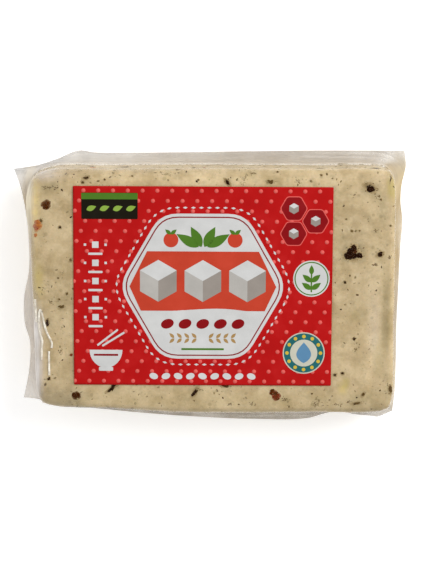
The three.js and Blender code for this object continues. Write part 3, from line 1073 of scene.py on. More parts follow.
def sprig_emblem():
    """Right: a round emblem with a sprig."""
    x, y = 38.0, 3.0
    shapes = []
    for ink, layer, size in (("white", 1, 12.8), ("leaf", 2, 11.9), ("white", 3, 11.1)):
        shapes += inked(ink, layer, oval(x, y, size, size))
    for foot, turn in ((-0.8, 35), (-0.8, 145), (1.8, 40), (1.8, 140)):
        shapes += inked("leaf", 4, leaf(x, foot, 4.1, 1.9, turn))
    return shapes + inked("leaf", 4, bar(x, 1.8, 0.5, 7.2, 0.2), leaf(x, 4.4, 3.4, 1.7, 90))


def drop_emblem():
    """Bottom right: a round emblem in teal and yellow with a drop."""
    x, y = 35.6, -23.4
    shapes = []
    for ink, layer, size in (("cream", 1, 14.8), ("teal", 2, 14.0), ("cream", 3, 9.6)):
        shapes += inked(ink, layer, oval(x, y, size, size))
    shapes += inked("blue", 4, leaf(x, -27.0, 7.4, 5.2, 90))
    for k in range(12):
        a = math.radians(30 * k)
        shapes += inked("yellow", 3, oval(x + 5.9 * math.cos(a), y + 5.9 * math.sin(a), 1.3, 1.3, 0, 12))
    return shapes


def lozenge_column():
    """Left: a column of lozenges and bars."""
    x, size, small = -37.6, 3.2, 1.2
    shapes = []
    for k in range(5):
        y = 14.6 - 6.4 * k
        shapes += inked("white", 1, oval(x, y, size, size, 45, 4), bar(x, y - 3.2, 5.0, 0.8, 0.3))
        shapes += inked("white", 1, *(oval(at, y, small, small, 45, 4) for at in (-41.2, -34.0)))
    return shapes


def bowl_and_sticks():
    """Bottom left: a bowl with two sticks."""
    x, brim, half_width, depth = -34.0, -22.6, 5.8, 6.4
    angles = np.linspace(math.pi, 2 * math.pi, 16)[1:-1]
    belly = [(x + half_width * math.cos(a), brim + depth * math.sin(a)) for a in angles]
    bowl = [(x - half_width, brim), *belly, (x + half_width, brim)]
    shapes = inked("white", 1, bowl, bar(x, -29.4, 5.0, 1.4, 0.4))
    for at, height, turn in ((-31.4, -18.8, 32), (-33.4, -18.2, 38)):
        shapes += inked("white", 1, bar(at, height, 9.2, 0.7, 0.25, turn))
    return shapes + inked("crimson", 2, bar(x, -24.4, 8.6, 0.7, 0.25))


def bean_row():
    """Bottom: a row of white beans."""
    y, pitch, lean = -31.9, 4.3, 18
    beans = [oval((k - 4) * pitch, y, 3.1, 2.2, lean if k % 2 else -lean, 20) for k in range(9)]
    return inked("white", 1, *beans)


PRINT_PARTS = (badge, lozenge_string, leaf_panel, cells, sprig_emblem, drop_emblem, lozenge_column,
               bowl_and_sticks, bean_row)


# ---- Settings --------------------------------------------


def colour_property(name, description, default):
    return FloatVectorProperty(name=name, description=description, default=default, subtype="COLOR",
                               min=0, max=1, size=3)


def length_property(name, description, default):
    return FloatProperty(name=name, description=description, default=default, min=0, unit="LENGTH",
                         subtype="DISTANCE", precision=5)


class TofuSettings(PropertyGroup):
    """The curd and what is mixed into it."""

    colour: colour_property("Curd", "Colour of the curd", (0.500, 0.380, 0.210))
    light_colour: colour_property("Light curd", "Colour of the palest patches", (0.63, 0.500, 0.305))
    shade_colour: colour_property("Curd in shade", "Colour of the darkest patches", (0.405, 0.298, 0.150))
    smudge_colour: colour_property("Smudges", "Colour of the herb juice in the curd", (0.32, 0.245, 0.122))
    speck_colour: colour_property("Specks", "Colour of the finest specks in the curd", (0.185, 0.145, 0.058))
    whey_colour: colour_property("Whey", "Colour of the curd where whey has gathered", (0.56, 0.44, 0.17))
    fleck_density: FloatProperty(name="Fleck density", description="Herb flecks on each square metre",
                                 default=190000, min=0)
    fleck_small: length_property("Smallest fleck", "Length of the smallest flecks", 0.18 * MM)
    fleck_large: length_property("Largest fleck", "Length of the largest flecks", 1.25 * MM)
    seed: IntProperty(name="Seed", description="Draw of the flecks and bits", default=11, min=0)


class FilmSettings(PropertyGroup):
    """The clear pouch."""

    thickness: length_property("Skirt thickness", "Thickness of the sealed skirt", 0.3 * MM)
    pleat_depth: length_property("Pleat depth", "How deep the pleats of the skirt are", 0.34 * MM)
    haze_on_block: FloatProperty(name="Haze on block", description="How milky the film is over the block",
                                 default=0.0, min=0, max=1, subtype="FACTOR")
    haze_on_skirt: FloatProperty(name="Haze on skirt", description="How milky each layer of the skirt is",
                                 default=0.58, min=0, max=1, subtype="FACTOR")
    ridge_height: length_property("Ridge height", "How far the film's gathered ridges stand proud", 0.5 * MM)
    # The milky film, pale enough to paint light into film that lies in shade on the left and over the
    # hollows.
    milk_painted_light_colour: colour_property("Milk and painted light", "Colour of the milky film, made pale as painted light where it lies in shade", (0.86, 0.81, 0.765))
    pearl_colour: colour_property("Pearl", "Colour of the paler sealed film", (0.55, 0.515, 0.48))
    frost_colour: colour_property("Frost", "Colour of the coolest sealed film", (0.52, 0.52, 0.525))
    grey_colour: colour_property("Grey", "Colour of the sealed film", (0.435, 0.39, 0.34))
    # A darker tint painted along the front of the skirt, as shade.
    painted_shade_colour: colour_property("Painted shade", "Colour of the film painted darker where it lies in shade", (0.31, 0.245, 0.155))
    cream_colour: colour_property("Cream", "Colour of the film where cream has gathered", (0.82, 0.715, 0.50))
    wet_colour: colour_property("Wet", "Colour of the film where whey lies under it", (0.57, 0.455, 0.275))
    # The folds' colour is painted near white as the glint along each fold.
    fold_glint_colour: colour_property("Folds", "Colour of the film where it is pinched", (0.97, 0.92, 0.80))
    fold_radius: length_property("Fold radius", "Half the width of a pinched fold", 0.40 * MM)


class LabelSettings(PropertyGroup):
    """The paper label and its print."""

    red: colour_property("Red", "Ground colour of the label", (0.43, 0.0065, 0.0065))
    dot_pitch: length_property("Dot pitch", "Distance from dot to dot along a row", 5.14 * MM)
    row_pitch: length_property("Row pitch", "Distance from one row of dots to the next", 3.54 * MM)
    row_shift: FloatProperty(name="Row shift", description="Shift of each row, as a share of the pitch",
                             default=0.298, min=0, max=1, subtype="FACTOR")
    dot_margin: length_property("Dot margin", "From the label's lower edge to the first dots", 1.4 * MM)
    dot_size: length_property("Dot size", "Diameter of each dot", 1.45 * MM)


class StageSettings(PropertyGroup):
    """Floor, light and camera."""

    floor_colour: colour_property("Floor", "Colour of the floor", (0.94, 0.94, 0.935))
    camera_distance: length_property("Camera distance", "From the camera to the top face", 0.600)
    camera_tilt: FloatProperty(name="Camera tilt", description="Lean of the camera towards the back",
                               default=CAMERA_TILT, subtype="ANGLE", unit="ROTATION")
    lens: FloatProperty(name="Lens", description="Focal length in millimetres", default=106.9, min=1)


class TofuPackSettings(PropertyGroup):
    """All the settings of the tofu pack."""

    tofu: PointerProperty(type=TofuSettings, name="Tofu", description="The curd and its herbs")
    film: PointerProperty(type=FilmSettings, name="Film", description="The clear pouch")
    label: PointerProperty(type=LabelSettings, name="Label", description="The paper label")
    stage: PointerProperty(type=StageSettings, name="Stage", description="Floor, light and camera")


# ---- The tofu --------------------------------------------


# Heights from which the stains and the painted shade and highlights begin to show and show in full, and the
# size in millimetres of herb clump from which its juice stains the curd too.
STAIN_HEIGHTS = (12 * MM, 20 * MM)
JUICY_CLUMP = 1.8


def stains_and_painted_light(rings):
    """How much darker and how much yellower each ring point of the tofu is, from stains and from painted
    shade and highlights.
    """
    plan = (rings[:, :, :2] - BLOCK_SHIFT) / MM
    above = smoothstep(rings[:, :, 2], *STAIN_HEIGHTS)
    shade, yellow = np.zeros(above.shape), np.zeros(above.shape)
    juice = [(x, y, 0.6 * size + 0.5, 0.6 * size + 0.5, 0.9 * dark, 0.1)
             for x, y, size, _, _, dark in HERB_CLUMPS if size > JUICY_CLUMP]
    for x, y, reach_x, reach_y, darker, yellower in STAINS_AND_PAINTED_LIGHT + juice:
        away = (np.abs(plan[:, :, 0] - x) / reach_x) ** 3 + (np.abs(plan[:, :, 1] - y) / reach_y) ** 3
        share = above * np.exp(-away)
        shade += darker * share
        yellow += yellower * share
    return {"shade": shade, "yellow": yellow}


class TOFU_PACK_OT_block(Operator):
    """Make the block of tofu"""

    bl_idname = "tofu_pack.block"
    bl_label = "Tofu block"

    def execute(self, context):
        stations = stations_round()
        rings = top_rings(stations, TOFU_INSET)
        steps = np.linspace(0, 1, WALL_STEPS + 1)[1:-1]
        rings += wall_rings(stations, rings[-1][:, 2], BASE_EDGE_RADIUS, steps, TOFU_INSET)
        rings += base_rings(stations, TOFU_INSET)
        mesh = skin("tofu_block", rings, **stains_and_painted_light(np.array(rings)))
        relieve(mesh, curd_relief, 1.0)
        piece("tofu_block", mesh, [tofu_material()], ["pouch"])
        return {"FINISHED"}


# How far inside the label's outline and how deep under it no flecks are strewn, how far apart their density
# changes, and how finely and how far their outlines are torn.
COVER_MARGIN = 0.5 * MM
COVER_DEPTH = 2 * MM
FLECK_DRIFT = 11 * MM
FLECK_TEAR_SIZE = 0.45 * MM
FLECK_TEAR_DEPTH = 0.35 * MM


def fleck_tree(material):
    """Flecks scattered over a surface, thicker in some places, and none where the label hides them."""
    tree, given, output = new_tree("herb flecks", {
        "Geometry": "Geometry", "Density": "Float", "Seed": "Int", "Smallest": "Float", "Largest": "Float",
        "Label Middle": "Vector", "Label Half Length": "Float", "Label Half Width": "Float", "Top": "Float",
    })
    position = node(tree, "GeometryNodeInputPosition").outputs[0]
    away = split(tree, vector_maths(tree, "SUBTRACT", position, given["Label Middle"]))
    beside = maths(tree, "GREATER_THAN", maths(tree, "ABSOLUTE", away[0]), given["Label Half Length"])
    beyond = maths(tree, "GREATER_THAN", maths(tree, "ABSOLUTE", away[1]), given["Label Half Width"])
    below = maths(tree, "LESS_THAN", split(tree, position)[2], given["Top"])
    shown = maths(tree, "MAXIMUM", maths(tree, "MAXIMUM", beside, beyond), below)
    uneven = between(tree, noise_of(tree, position, FLECK_DRIFT, 2.0), 0.35, 0.65, 0.35, 1.7)
    density = times(tree, given["Density"], uneven, shown)
    spread = node(tree, "GeometryNodeDistributePointsOnFaces", {
        "Mesh": given["Geometry"], "Density": density, "Seed": given["Seed"],
    }).outputs

    def draw(low, high, seed):
        inputs = {2: low, 3: high, "Seed": seed}
        return node(tree, "FunctionNodeRandomValue", inputs, data_type="FLOAT").outputs[1]

    share = maths(tree, "POWER", draw(0.0, 1.0, 2), 3.2)
    reach = minus(tree, given["Largest"], given["Smallest"])
    size = times(tree, plus(tree, times(tree, share, reach), given["Smallest"]), 0.5)
    scale = joined(tree, size, times(tree, size, draw(0.15, 0.75, 3)), times(tree, size, 0.22))
    spin = joined(tree, z=draw(0.0, 2 * math.pi, 4))
    spin = node(tree, "FunctionNodeEulerToRotation", {0: spin}).outputs[0]
    turned = node(tree, "FunctionNodeRotateRotation", {0: spread["Rotation"], 1: spin},
                  rotation_space="LOCAL").outputs[0]
    fleck = node(tree, "GeometryNodeMeshIcoSphere", {"Radius": 1.0, "Subdivisions": 1}).outputs[0]
    strewn = node(tree, "GeometryNodeInstanceOnPoints", {
        "Points": spread["Points"], "Instance": fleck, "Rotation": turned, "Scale": scale,
    }).outputs[0]
    dark = maths(tree, "POWER", draw(0.0, 1.0, 5), 1.8)
    tone = times(tree, dark, between(tree, share, 0.0, 0.4, 0.35, 0.9))
    toned = geometry_node(tree, "StoreNamedAttribute", strewn, {"Name": "tone", "Value": tone},
                          data_type="FLOAT", domain="INSTANCE")
    loose = geometry_node(tree, "RealizeInstances", toned)
    ragged = noise_of(tree, position, FLECK_TEAR_SIZE, 1.0, output="Color")
    centred = vector_maths(tree, "SUBTRACT", ragged, (0.5, 0.5, 0.5))
    offset = node(tree, "ShaderNodeVectorMath", {0: centred, "Scale": FLECK_TEAR_DEPTH}, operation="SCALE")
    torn = geometry_node(tree, "SetPosition", loose, {"Offset": offset.outputs[0]})
    finish_tree(tree, output, torn, material)
    return tree


# Colours from the palest to the darkest herb, and from brown to orange tomato.
HERB_STOPS = [(0.0, (0.33, 0.265, 0.14)), (0.3, (0.22, 0.17, 0.08)), (0.6, (0.115, 0.068, 0.022)),
              (0.85, (0.030, 0.011, 0.003)), (1.0, (0.009, 0.0014, 0.0003))]
TOMATO_STOPS = [(0.0, (0.045, 0.011, 0.001)), (0.2, (0.085, 0.023, 0.003)), (0.5, (0.25, 0.020, 0.008)),
                (0.85, (0.36, 0.095, 0.010)), (1.0, (0.52, 0.16, 0.016))]


class TOFU_PACK_OT_flecks(Operator):
    """Scatter herb flecks over the tofu"""

    bl_idname = "tofu_pack.flecks"
    bl_label = "Herb flecks"

    def execute(self, context):
        tofu = settings().tofu
        material = bits_material("dried herb flecks", HERB_STOPS, 0.7, 0.4 * MM, 0.1)
        holder = holder_of(needed("tofu_block").data)
        mesh = run_tree(holder, fleck_tree(material), {
            "Density": tofu.fleck_density,
            "Seed": tofu.seed,
            "Smallest": tofu.fleck_small,
            "Largest": tofu.fleck_large,
            "Label Middle": (*label_place()[:2], 0.0),
            "Label Half Length": LABEL_LENGTH / 2 - COVER_MARGIN,
            "Label Half Width": LABEL_WIDTH / 2 - COVER_MARGIN,
            "Top": LAND_HEIGHT - COVER_DEPTH,
        })
        bpy.data.objects.remove(holder)
        piece("herb_flecks", mesh, [material])
        return {"FINISHED"}


# Bits on the walls and the base: how many of each kind, and the share of them that is on the base.
CLUMPS_ELSEWHERE = 90
TOMATO_ELSEWHERE = 26
SHARE_ON_BASE = 0.45


def spots_elsewhere(draw, count, tree):
    """Places and normals on the walls and the base, where no bits are listed."""
    half_length, half_width = BLOCK_LENGTH / 2, BLOCK_WIDTH / 2
    spots = []
    for _ in range(count):
        if draw.random() < SHARE_ON_BASE:
            x, y = (draw.uniform(-0.9, 0.9) * half for half in (half_length, half_width))
            start = Vector((x, y, -0.05))
        else:
            a = draw.uniform(0, 2 * math.pi)
            height = draw.uniform(0.12, 0.85) * LAND_HEIGHT
            start = Vector((1.3 * half_length * math.cos(a), 1.3 * half_width * math.sin(a), height))
        spots.append(tree.find_nearest(start)[:2])
    return spots


def axes_on(normal, turn):
    """Two directions in a surface, the first turned by an angle, for a normal."""
    side = Vector((1, 0, 0)) if abs(normal.x) < 0.8 else Vector((0, 1, 0))
    along = normal.cross(side).normalized()
    across = along.cross(normal).normalized()
    cos, sin = math.cos(turn), math.sin(turn)
    return across * cos + along * sin, along * cos - across * sin


# How deep the outline and the foot of a scrap lie in the curd, in millimetres.
SCRAP_SINK = 0.04
SCRAP_FOOT = 0.3


def half_widths(size, stretch):
    """Half the length and half the width of a bit of this size and stretch."""
    return size * math.sqrt(stretch) / 2, size / math.sqrt(stretch) / 2


def scrap(draw, tree, place, normal, size, stretch, turn, lift, corners, ragged=1.0, soft=0.0, rim=1.0):
    """A ragged scrap laid on the curd: rings of corners from its sunken edge in to its crown, and a foot.

    Each point's edge value is 0 where the scrap's own colour shows and 1 where it has faded into the curd.
    It is rim at the outline, and inside it the higher the softer the scrap is.
    """
    across, along = axes_on(normal, turn)
    long_way, short_way = half_widths(size, stretch)
    seed = Vector((draw.uniform(0, 90), draw.uniform(0, 90), 0.5))
    reaches = []
    for i in range(corners):
        a = 2 * math.pi * i / corners
        bulge = noise.noise(seed + 1.4 * Vector((math.cos(a), math.sin(a), 0)))
        reaches.append(0.95 + ragged * (0.45 * bulge + draw.uniform(-0.1, 0.1)))
    levels = [(1.0, -SCRAP_SINK * MM, rim), (0.8, 0.6 * lift, 0.15 + 0.5 * soft), (0.5, lift, 0.25 * soft)]
    points, edges = [], []
    for share, rise, edge in levels:
        for i, reach in enumerate(reaches):
            a = 2 * math.pi * i / corners
            at = place + across * (long_way * share * reach * math.cos(a))
            spot, up, *_ = tree.find_nearest(at + along * (short_way * share * reach * math.sin(a)))
            points.append(spot + up * rise)
            edges.append(edge)
    spot, up, *_ = tree.find_nearest(place)
    points += [spot + up * lift, spot - up * SCRAP_FOOT * MM]
    edges += [0.0, 1.0]
    crown, foot = 3 * corners, 3 * corners + 1
    faces = []
    for i in range(corners):
        after = (i + 1) % corners
        faces += [(foot, after, i), (2 * corners + i, 2 * corners + after, crown)]
        for level in (0, corners):
            faces.append((level + i, level + after, level + corners + after, level + corners + i))
    return points, faces, edges


def toned_mesh(name, parts):
    """Joins (points, faces, edges, tone) parts into one mesh that keeps each point's edge and tone."""
    points, faces, edges, tones = [], [], [], []
    for part_points, part_faces, part_edges, tone in parts:
        first = len(points)
        points += [tuple(p) for p in part_points]
        faces += [tuple(first + i for i in face) for face in part_faces]
        edges += part_edges
        tones += [min(1.0, tone)] * len(part_points)
    mesh = mesh_of(name, points, faces)
    store(mesh, "tone", tones)
    store(mesh, "edge", edges)
    return mesh


def top_spot(tree, x, y):
    """The place and normal on the top face under x, y of the block's own plan, as the camera leans."""
    start = Vector((x * MM + BLOCK_SHIFT[0], y * MM + BLOCK_SHIFT[1], LAND_HEIGHT))
    down = Vector((0, -math.sin(CAMERA_TILT), -math.cos(CAMERA_TILT)))
    place, normal, *_ = tree.ray_cast(start - down * 20 * MM, down)
    if place is None:
        raise RuntimeError(f"no tofu under {x}, {y}")
    return place, normal


# Herb clumps paler than this are sprays of fine bits.
PALE_CLUMP = 0.55


def clump(draw, tree, place, normal, size, stretch, turn, dark):
    """A clump of herb: dark scraps grown together with crumbs round them, or a pale spray of fine bits."""
    across, along = axes_on(normal, turn)
    long_way, short_way = half_widths(size, stretch)
    parts = []

    def lay(off, length, long_share, tone, lift=0.03, corners=7, wander=0.4, ragged=1.0, soft=0.3, rim=1.0):
        a = draw.uniform(0, 2 * math.pi)
        middle = place + across * (long_way * off * math.cos(a)) + along * (short_way * off * math.sin(a))
        spin = turn + draw.gauss(0, wander)
        shape = (lift * MM, corners, ragged, soft, rim)
        parts.append((*scrap(draw, tree, middle, normal, length, long_share, spin, *shape), tone))

    if dark < PALE_CLUMP:
        for _ in range(int(8 + 9 * size / (2 * MM))):
            lay(1.1 * draw.random(), draw.uniform(0.22, 0.6) * MM, draw.uniform(1.5, 6),
                dark * draw.uniform(0.5, 1.6), wander=0.9)
        return parts
    # A soft stain under the clump, its body, smaller scraps over it and crumbs round it.
    lay(0, 1.4 * size, stretch, 0.4 * dark, corners=22, wander=0.1, ragged=0.8, soft=1.5)
    lay(0, 0.78 * size, stretch, dark, lift=0.045, corners=18, wander=0.15, ragged=0.8, soft=0.1)
    for i in range(3 + int(size / (0.9 * MM))):
        lay(draw.uniform(0.0, 0.55), size * draw.uniform(0.4, 0.62), draw.uniform(1, 1.4) * stretch**0.5,
            dark * draw.uniform(0.9, 1.0), lift=0.05 + 0.004 * i, corners=12, soft=-0.2, rim=0.3)
    for _ in range(int(3 + 2.5 * size / (2 * MM))):
        lay(0.75 + 0.5 * draw.random(), min(size, 3 * MM) * draw.uniform(0.08, 0.24), draw.uniform(1, 2.4),
            dark * draw.uniform(0.25, 0.75))
    return parts


class TOFU_PACK_OT_clumps(Operator):
    """Lay the larger herb clumps in the tofu"""

    bl_idname = "tofu_pack.clumps"
    bl_label = "Herb clumps"

    def execute(self, context):
        draw = random.Random(settings().tofu.seed + 5)
        tree = surface_under(needed("tofu_block"))
        parts = []
        for x, y, size, stretch, turn, dark in HERB_CLUMPS:
            place, normal = top_spot(tree, x, y)
            parts += clump(draw, tree, place, normal, size * MM, stretch, math.radians(turn), dark)
        for place, normal in spots_elsewhere(draw, CLUMPS_ELSEWHERE, tree):
            size = (0.8 + 3.4 * draw.random() ** 3) * MM
            parts += clump(draw, tree, place, normal, size, draw.uniform(1, 2.2), draw.uniform(0, math.pi),
                           draw.uniform(0.4, 1.0))
        material = bits_material("dried herb clumps", HERB_STOPS, 0.7, 0.4 * MM, 0.08)
        piece("herb_clumps", toned_mesh("herb_clumps", parts), [material])
        return {"FINISHED"}


# Tomato pieces larger than this have smaller scraps laid over them.
SMALLEST_LAYERED_TOMATO = 1.6 * MM


class TOFU_PACK_OT_tomato(Operator):
    """Lay the tomato pieces in the tofu"""

    bl_idname = "tofu_pack.tomato"
    bl_label = "Tomato pieces"

    def execute(self, context):
        draw = random.Random(settings().tofu.seed + 9)
        tree = surface_under(needed("tofu_block"))
        parts = []

        def lay(place, normal, size, stretch, turn, ripe):
            made = scrap(draw, tree, place, normal, size, stretch, turn, lift=0.06 * MM, corners=24,
                         ragged=0.6, soft=0.1 + 0.6 * ripe)
            parts.append((*made, ripe))
            across, along = axes_on(normal, turn)
            for i in range(3 if size > SMALLEST_LAYERED_TOMATO else 0):
                a = draw.uniform(0, 2 * math.pi)
                at = place + across * (0.22 * size * math.sqrt(stretch) * math.cos(a))
                at += along * (0.2 * size * math.sin(a))
                made = scrap(draw, tree, at, normal, size * draw.uniform(0.35, 0.55), draw.uniform(1, 1.6),
                             draw.uniform(0, math.pi), lift=(0.065 + 0.005 * i) * MM, corners=14,
                             ragged=0.6, soft=-0.2, rim=0.3)
                parts.append((*made, ripe * draw.uniform(0.8, 1.0)))

        for x, y, size, stretch, turn, ripe in TOMATO_BITS:
            lay(*top_spot(tree, x, y), size * MM, stretch, math.radians(turn), ripe)
        for place, normal in spots_elsewhere(draw, TOMATO_ELSEWHERE, tree):
            size = (1.2 + 2.4 * draw.random() ** 2) * MM
            ripe = draw.choice((0.08, 0.15, 0.3, 0.45, 0.9))
            lay(place, normal, size, draw.uniform(1, 1.7), draw.uniform(0, math.pi), ripe)
        material = bits_material("dried tomato", TOMATO_STOPS, 0.5, 0.6 * MM, 0.16)
        piece("tomato_bits", toned_mesh("tomato_bits", parts), [material])
        return {"FINISHED"}


# ---- The film --------------------------------------------


def pleats(stations, reach):
    """The lift of the skirt's pleats, which run out from the block and are deepest at the ears."""
    depth = settings().film.pleat_depth * (0.55 + 1.3 * near_ears(stations, 0.03))
    lifts = []
    for length in stations.length:
        broad = noise.noise(Vector((length / (9 * MM), 0.6 * reach, 4.0)))
        fine = noise.noise(Vector((length / (3.1 * MM), 0.9 * reach, 9.0)))
        lifts.append(broad + 0.55 * fine)
    return depth * np.array(lifts) * (0.25 + 0.75 * reach)


# How far from the seam the film's ridges reach, the share of the skirt's thickness that is left at its rim,
# and how steeply it falls to that.
RIDGE_REACH = 5.5 * MM
RIM_THICKNESS = 0.2
RIM_TAPER = 30


def film_rings(stations):
    """Rings of the film from the top down, and how far each is part of the sealed skirt, from 0 to 1."""
    half = settings().film.thickness / 2
    rings = top_rings(stations, FILM_INSET)
    foot_wave = seam_wave(stations.round) * SEAM_WAVE_AT_FOOT
    gathers = ridges(stations) * settings().film.ridge_height

    def gathered(made):
        """Rings on the wall, with the film's ridges standing proud towards the seam."""
        for points in made:
            near = np.exp(-(((points[:, 2] - SEAM_HEIGHT) / RIDGE_REACH) ** 2))
            points[:, :2] += stations.normal * (gathers * near)[:, None]
        return made

    tent_top = SEAM_HEIGHT + TENT_HEIGHT + foot_wave
    steps = np.linspace(0, 1, UPPER_WALL_STEPS + 1)[1:]
    rings += gathered(wall_rings(stations, rings[-1][:, 2], tent_top, steps, FILM_INSET))
    sealed = [0.0] * len(rings)
    foot_plan = stations.block + stations.normal * SKIRT_FOOT_OUTSET
    foot_height = SEAM_HEIGHT + foot_wave + pleats(stations, 0)

    def tent(start, side, shares):
        """The film drawn off the wall to one side of the skirt's foot."""
        for t in shares:
            plan = start[:, :2] + (foot_plan - start[:, :2]) * t**2
            height = start[:, 2] + (foot_height + side * half - start[:, 2]) * (1 - (1 - t) ** 2)
            yield ring(plan, height), t

    def skirt(side, blends):
        """One side of the skirt, from its foot to its thin rim."""
        for blend in blends:
            wave = seam_wave(stations.round) * (SEAM_WAVE_AT_FOOT + (1 - SEAM_WAVE_AT_FOOT) * blend)
            plan = foot_plan + (stations.rim - foot_plan) * blend
            edge = min(1.0, (1 - blend) * RIM_TAPER + RIM_THICKNESS)
            yield ring(plan, SEAM_HEIGHT + wave + pleats(stations, blend) + side * half * edge), 1.0

    parts = list(tent(rings[-1], 1, np.linspace(0, 1, TENT_STEPS + 1)[1:]))
    parts += list(skirt(1, SKIRT_BLENDS))
    parts += list(skirt(-1, SKIRT_BLENDS[::-1]))
    low, = gathered([wall_ring(stations, SEAM_HEIGHT - TENT_HEIGHT + foot_wave, FILM_INSET)])
    parts += list(tent(low, -1, np.linspace(1, 0, TENT_STEPS + 1)))
    for made, share in parts:
        rings.append(made)
        sealed.append(share)
    steps = np.linspace(0, 1, LOWER_WALL_STEPS + 1)[1:-1]
    lower = gathered(wall_rings(stations, low[:, 2], BASE_EDGE_RADIUS, steps, FILM_INSET))
    lower += base_rings(stations, FILM_INSET)
    rings += lower
    sealed += [0.0] * len(lower)
    return np.array(rings), np.array(sealed)


# Heights from which loose film begins to show and shows in full, and how far whey creeps out into the skirt.
LOOSE_FILM_HEIGHTS = (18 * MM, 25 * MM)
DAMP_REACH = 1.8 * MM
FILM_TINTS = ("milk_painted_light", "pearl", "frost", "grey", "painted_shade", "cream", "wet")


def film_haze(stations, rings, sealed):
    """How milky the film is at each ring point, and its colour: the skirt, and film loose on the block, with
    painted light and shade in some of its tints.
    """
    film = settings().film
    tints = {name: np.array(getattr(film, f"{name}_colour")) for name in FILM_TINTS}
    leftward = np.clip(-stations.normal[:, 0], 0, 1)
    places, amounts, names = zip(*SKIRT_HAZE)
    most = film.haze_on_skirt * np.interp(stations.round, places, amounts)
    given = np.array([tints[name] for name in names])
    along = np.column_stack([np.interp(stations.round, places, given[:, k]) for k in range(3)])
    gap = np.linalg.norm(rings[:, :, :2] - stations.block, axis=2)
    damp = ((0.5 - 0.3 * leftward) * np.exp(-gap / DAMP_REACH))[:, :, None]
    parts = [(most * sealed ** (1.1 + 1.4 * leftward), along + damp * (tints["wet"] - along))]
    plan = (rings[:, :, :2] - BLOCK_SHIFT) / MM
    shown = np.maximum(smoothstep(rings[:, :, 2], *LOOSE_FILM_HEIGHTS), sealed)
    for x, y, reach_x, reach_y, amount, name in LOOSE_FILM:
        away = ((plan[:, :, 0] - x) / reach_x) ** 2 + ((plan[:, :, 1] - y) / reach_y) ** 2
        parts.append((amount * shown * np.exp(-away), tints[name]))
    haze = sum(amount for amount, _ in parts)
    tint = sum(amount[:, :, None] * colour for amount, colour in parts) / (haze + 1e-6)[:, :, None]
    return haze, tint


class TOFU_PACK_OT_film(Operator):
    """Draw the clear pouch over the tofu"""

    bl_idname = "tofu_pack.film"
    bl_label = "Film pouch"

    def execute(self, context):
        stations = stations_round()
        rings, sealed = film_rings(stations)
        sealed = np.repeat(sealed[:, None], len(stations.round), axis=1)
        haze, tint = film_haze(stations, rings, sealed)
        outward = np.sum((rings[:, :, :2] - stations.block) * stations.normal, axis=2)
        around = np.broadcast_to(stations.length, haze.shape)
        mesh = skin("film_pouch", rings, haze=haze, outward=outward, around=around)
        paint(mesh, "tint", tint)
        relieve(mesh, curd_relief, np.append(1 - sealed.ravel(), [1, 1]))
        piece("film_pouch", mesh, [film_material()], ["pouch"])
        return {"FINISHED"}


# Length of the steps along a fold.
FOLD_STEP = 0.25 * MM


def fold_tree(material):
    """Tapered folds that follow paths along a surface."""
    sockets = {"Geometry": "Geometry", "Surface": "Object", "Radius": "Float"}
    tree, given, output = new_tree("film folds", sockets)
    path = node(tree, "GeometryNodeMeshToCurve", {"Mesh": given["Geometry"]}).outputs[0]
    path = node(tree, "GeometryNodeCurveSplineType", {"Curve": path}, spline_type="CATMULL_ROM").outputs[0]
    steps = {"Curve": path, "Length": FOLD_STEP}
    path = node(tree, "GeometryNodeResampleCurve", steps, mode="LENGTH").outputs[0]
    surface = node(tree, "GeometryNodeObjectInfo", {"Object": given["Surface"]}).outputs["Geometry"]
    nearest = geometry_node(tree, "Proximity", surface, target_element="FACES")
    path = geometry_node(tree, "SetPosition", path, {"Position": nearest})
    share = node(tree, "GeometryNodeSplineParameter").outputs["Factor"]
    width = node(tree, "GeometryNodeInputNamedAttribute", {"Name": "width"}, data_type="FLOAT").outputs[0]
    arch = maths(tree, "SINE", times(tree, share, math.pi))
    taper = plus(tree, maths(tree, "POWER", maths(tree, "MAXIMUM", arch, 0.0), 0.6), 0.08)
    radius = times(tree, taper, width)
    path = node(tree, "GeometryNodeSetCurveRadius", {"Curve": path, "Radius": radius}).outputs[0]
    profile = node(tree, "GeometryNodeCurvePrimitiveCircle", {"Resolution": 10, "Radius": given["Radius"]})
    ridge = node(tree, "GeometryNodeCurveToMesh", {
        "Curve": path, "Profile Curve": profile.outputs[0], "Fill Caps": True,
    })
    finish_tree(tree, output, ridge.outputs[0], material)
    return tree


# Folds beside each corner of the walls: how many to a side, the share that would run up, the heights where
# they start and end, and how far out their middle lies, in millimetres.
FOLDS_TO_A_SIDE = 3
UPPER_FOLD_SHARE = 0.7
UPPER_FOLD_FOOT = 12.4
LOWER_FOLD_FOOT = 10.0
UPPER_FOLD_ENDS = (17, 24)
LOWER_FOLD_ENDS = (2.5, 6)
FOLD_OUTSET = 0.4


def corner_folds(seed):
    """Paths of folds that run from the seam up and down the corners of the walls: (width, points) each."""
    draw = random.Random(seed)
    stations = stations_round()
    around = len(stations.round)
    folds = []
    for corner in range(4):
        for side in [-1] * FOLDS_TO_A_SIDE + [1] * FOLDS_TO_A_SIDE:
            at = int((corner / 4 + side * draw.uniform(0.006, 0.04)) * around)
            lean = draw.uniform(-3, 5) * -side
            end = draw.uniform(*(UPPER_FOLD_ENDS if draw.random() < UPPER_FOLD_SHARE else LOWER_FOLD_ENDS))
            if stations.normal[at % around][1] > 0.5:
                end = draw.uniform(*LOWER_FOLD_ENDS)
            foot = UPPER_FOLD_FOOT if end > UPPER_FOLD_FOOT else LOWER_FOLD_FOOT
            path = []
            for t in np.linspace(0, 1, 5):
                here = int(at + lean * t + draw.uniform(-0.6, 0.6)) % around
                x, y = stations.block[here] + stations.normal[here] * FOLD_OUTSET * MM
                path.append((float(x), float(y), float((foot + (end - foot) * t) * MM)))
            folds.append((draw.uniform(0.3, 0.6), path))
    return folds


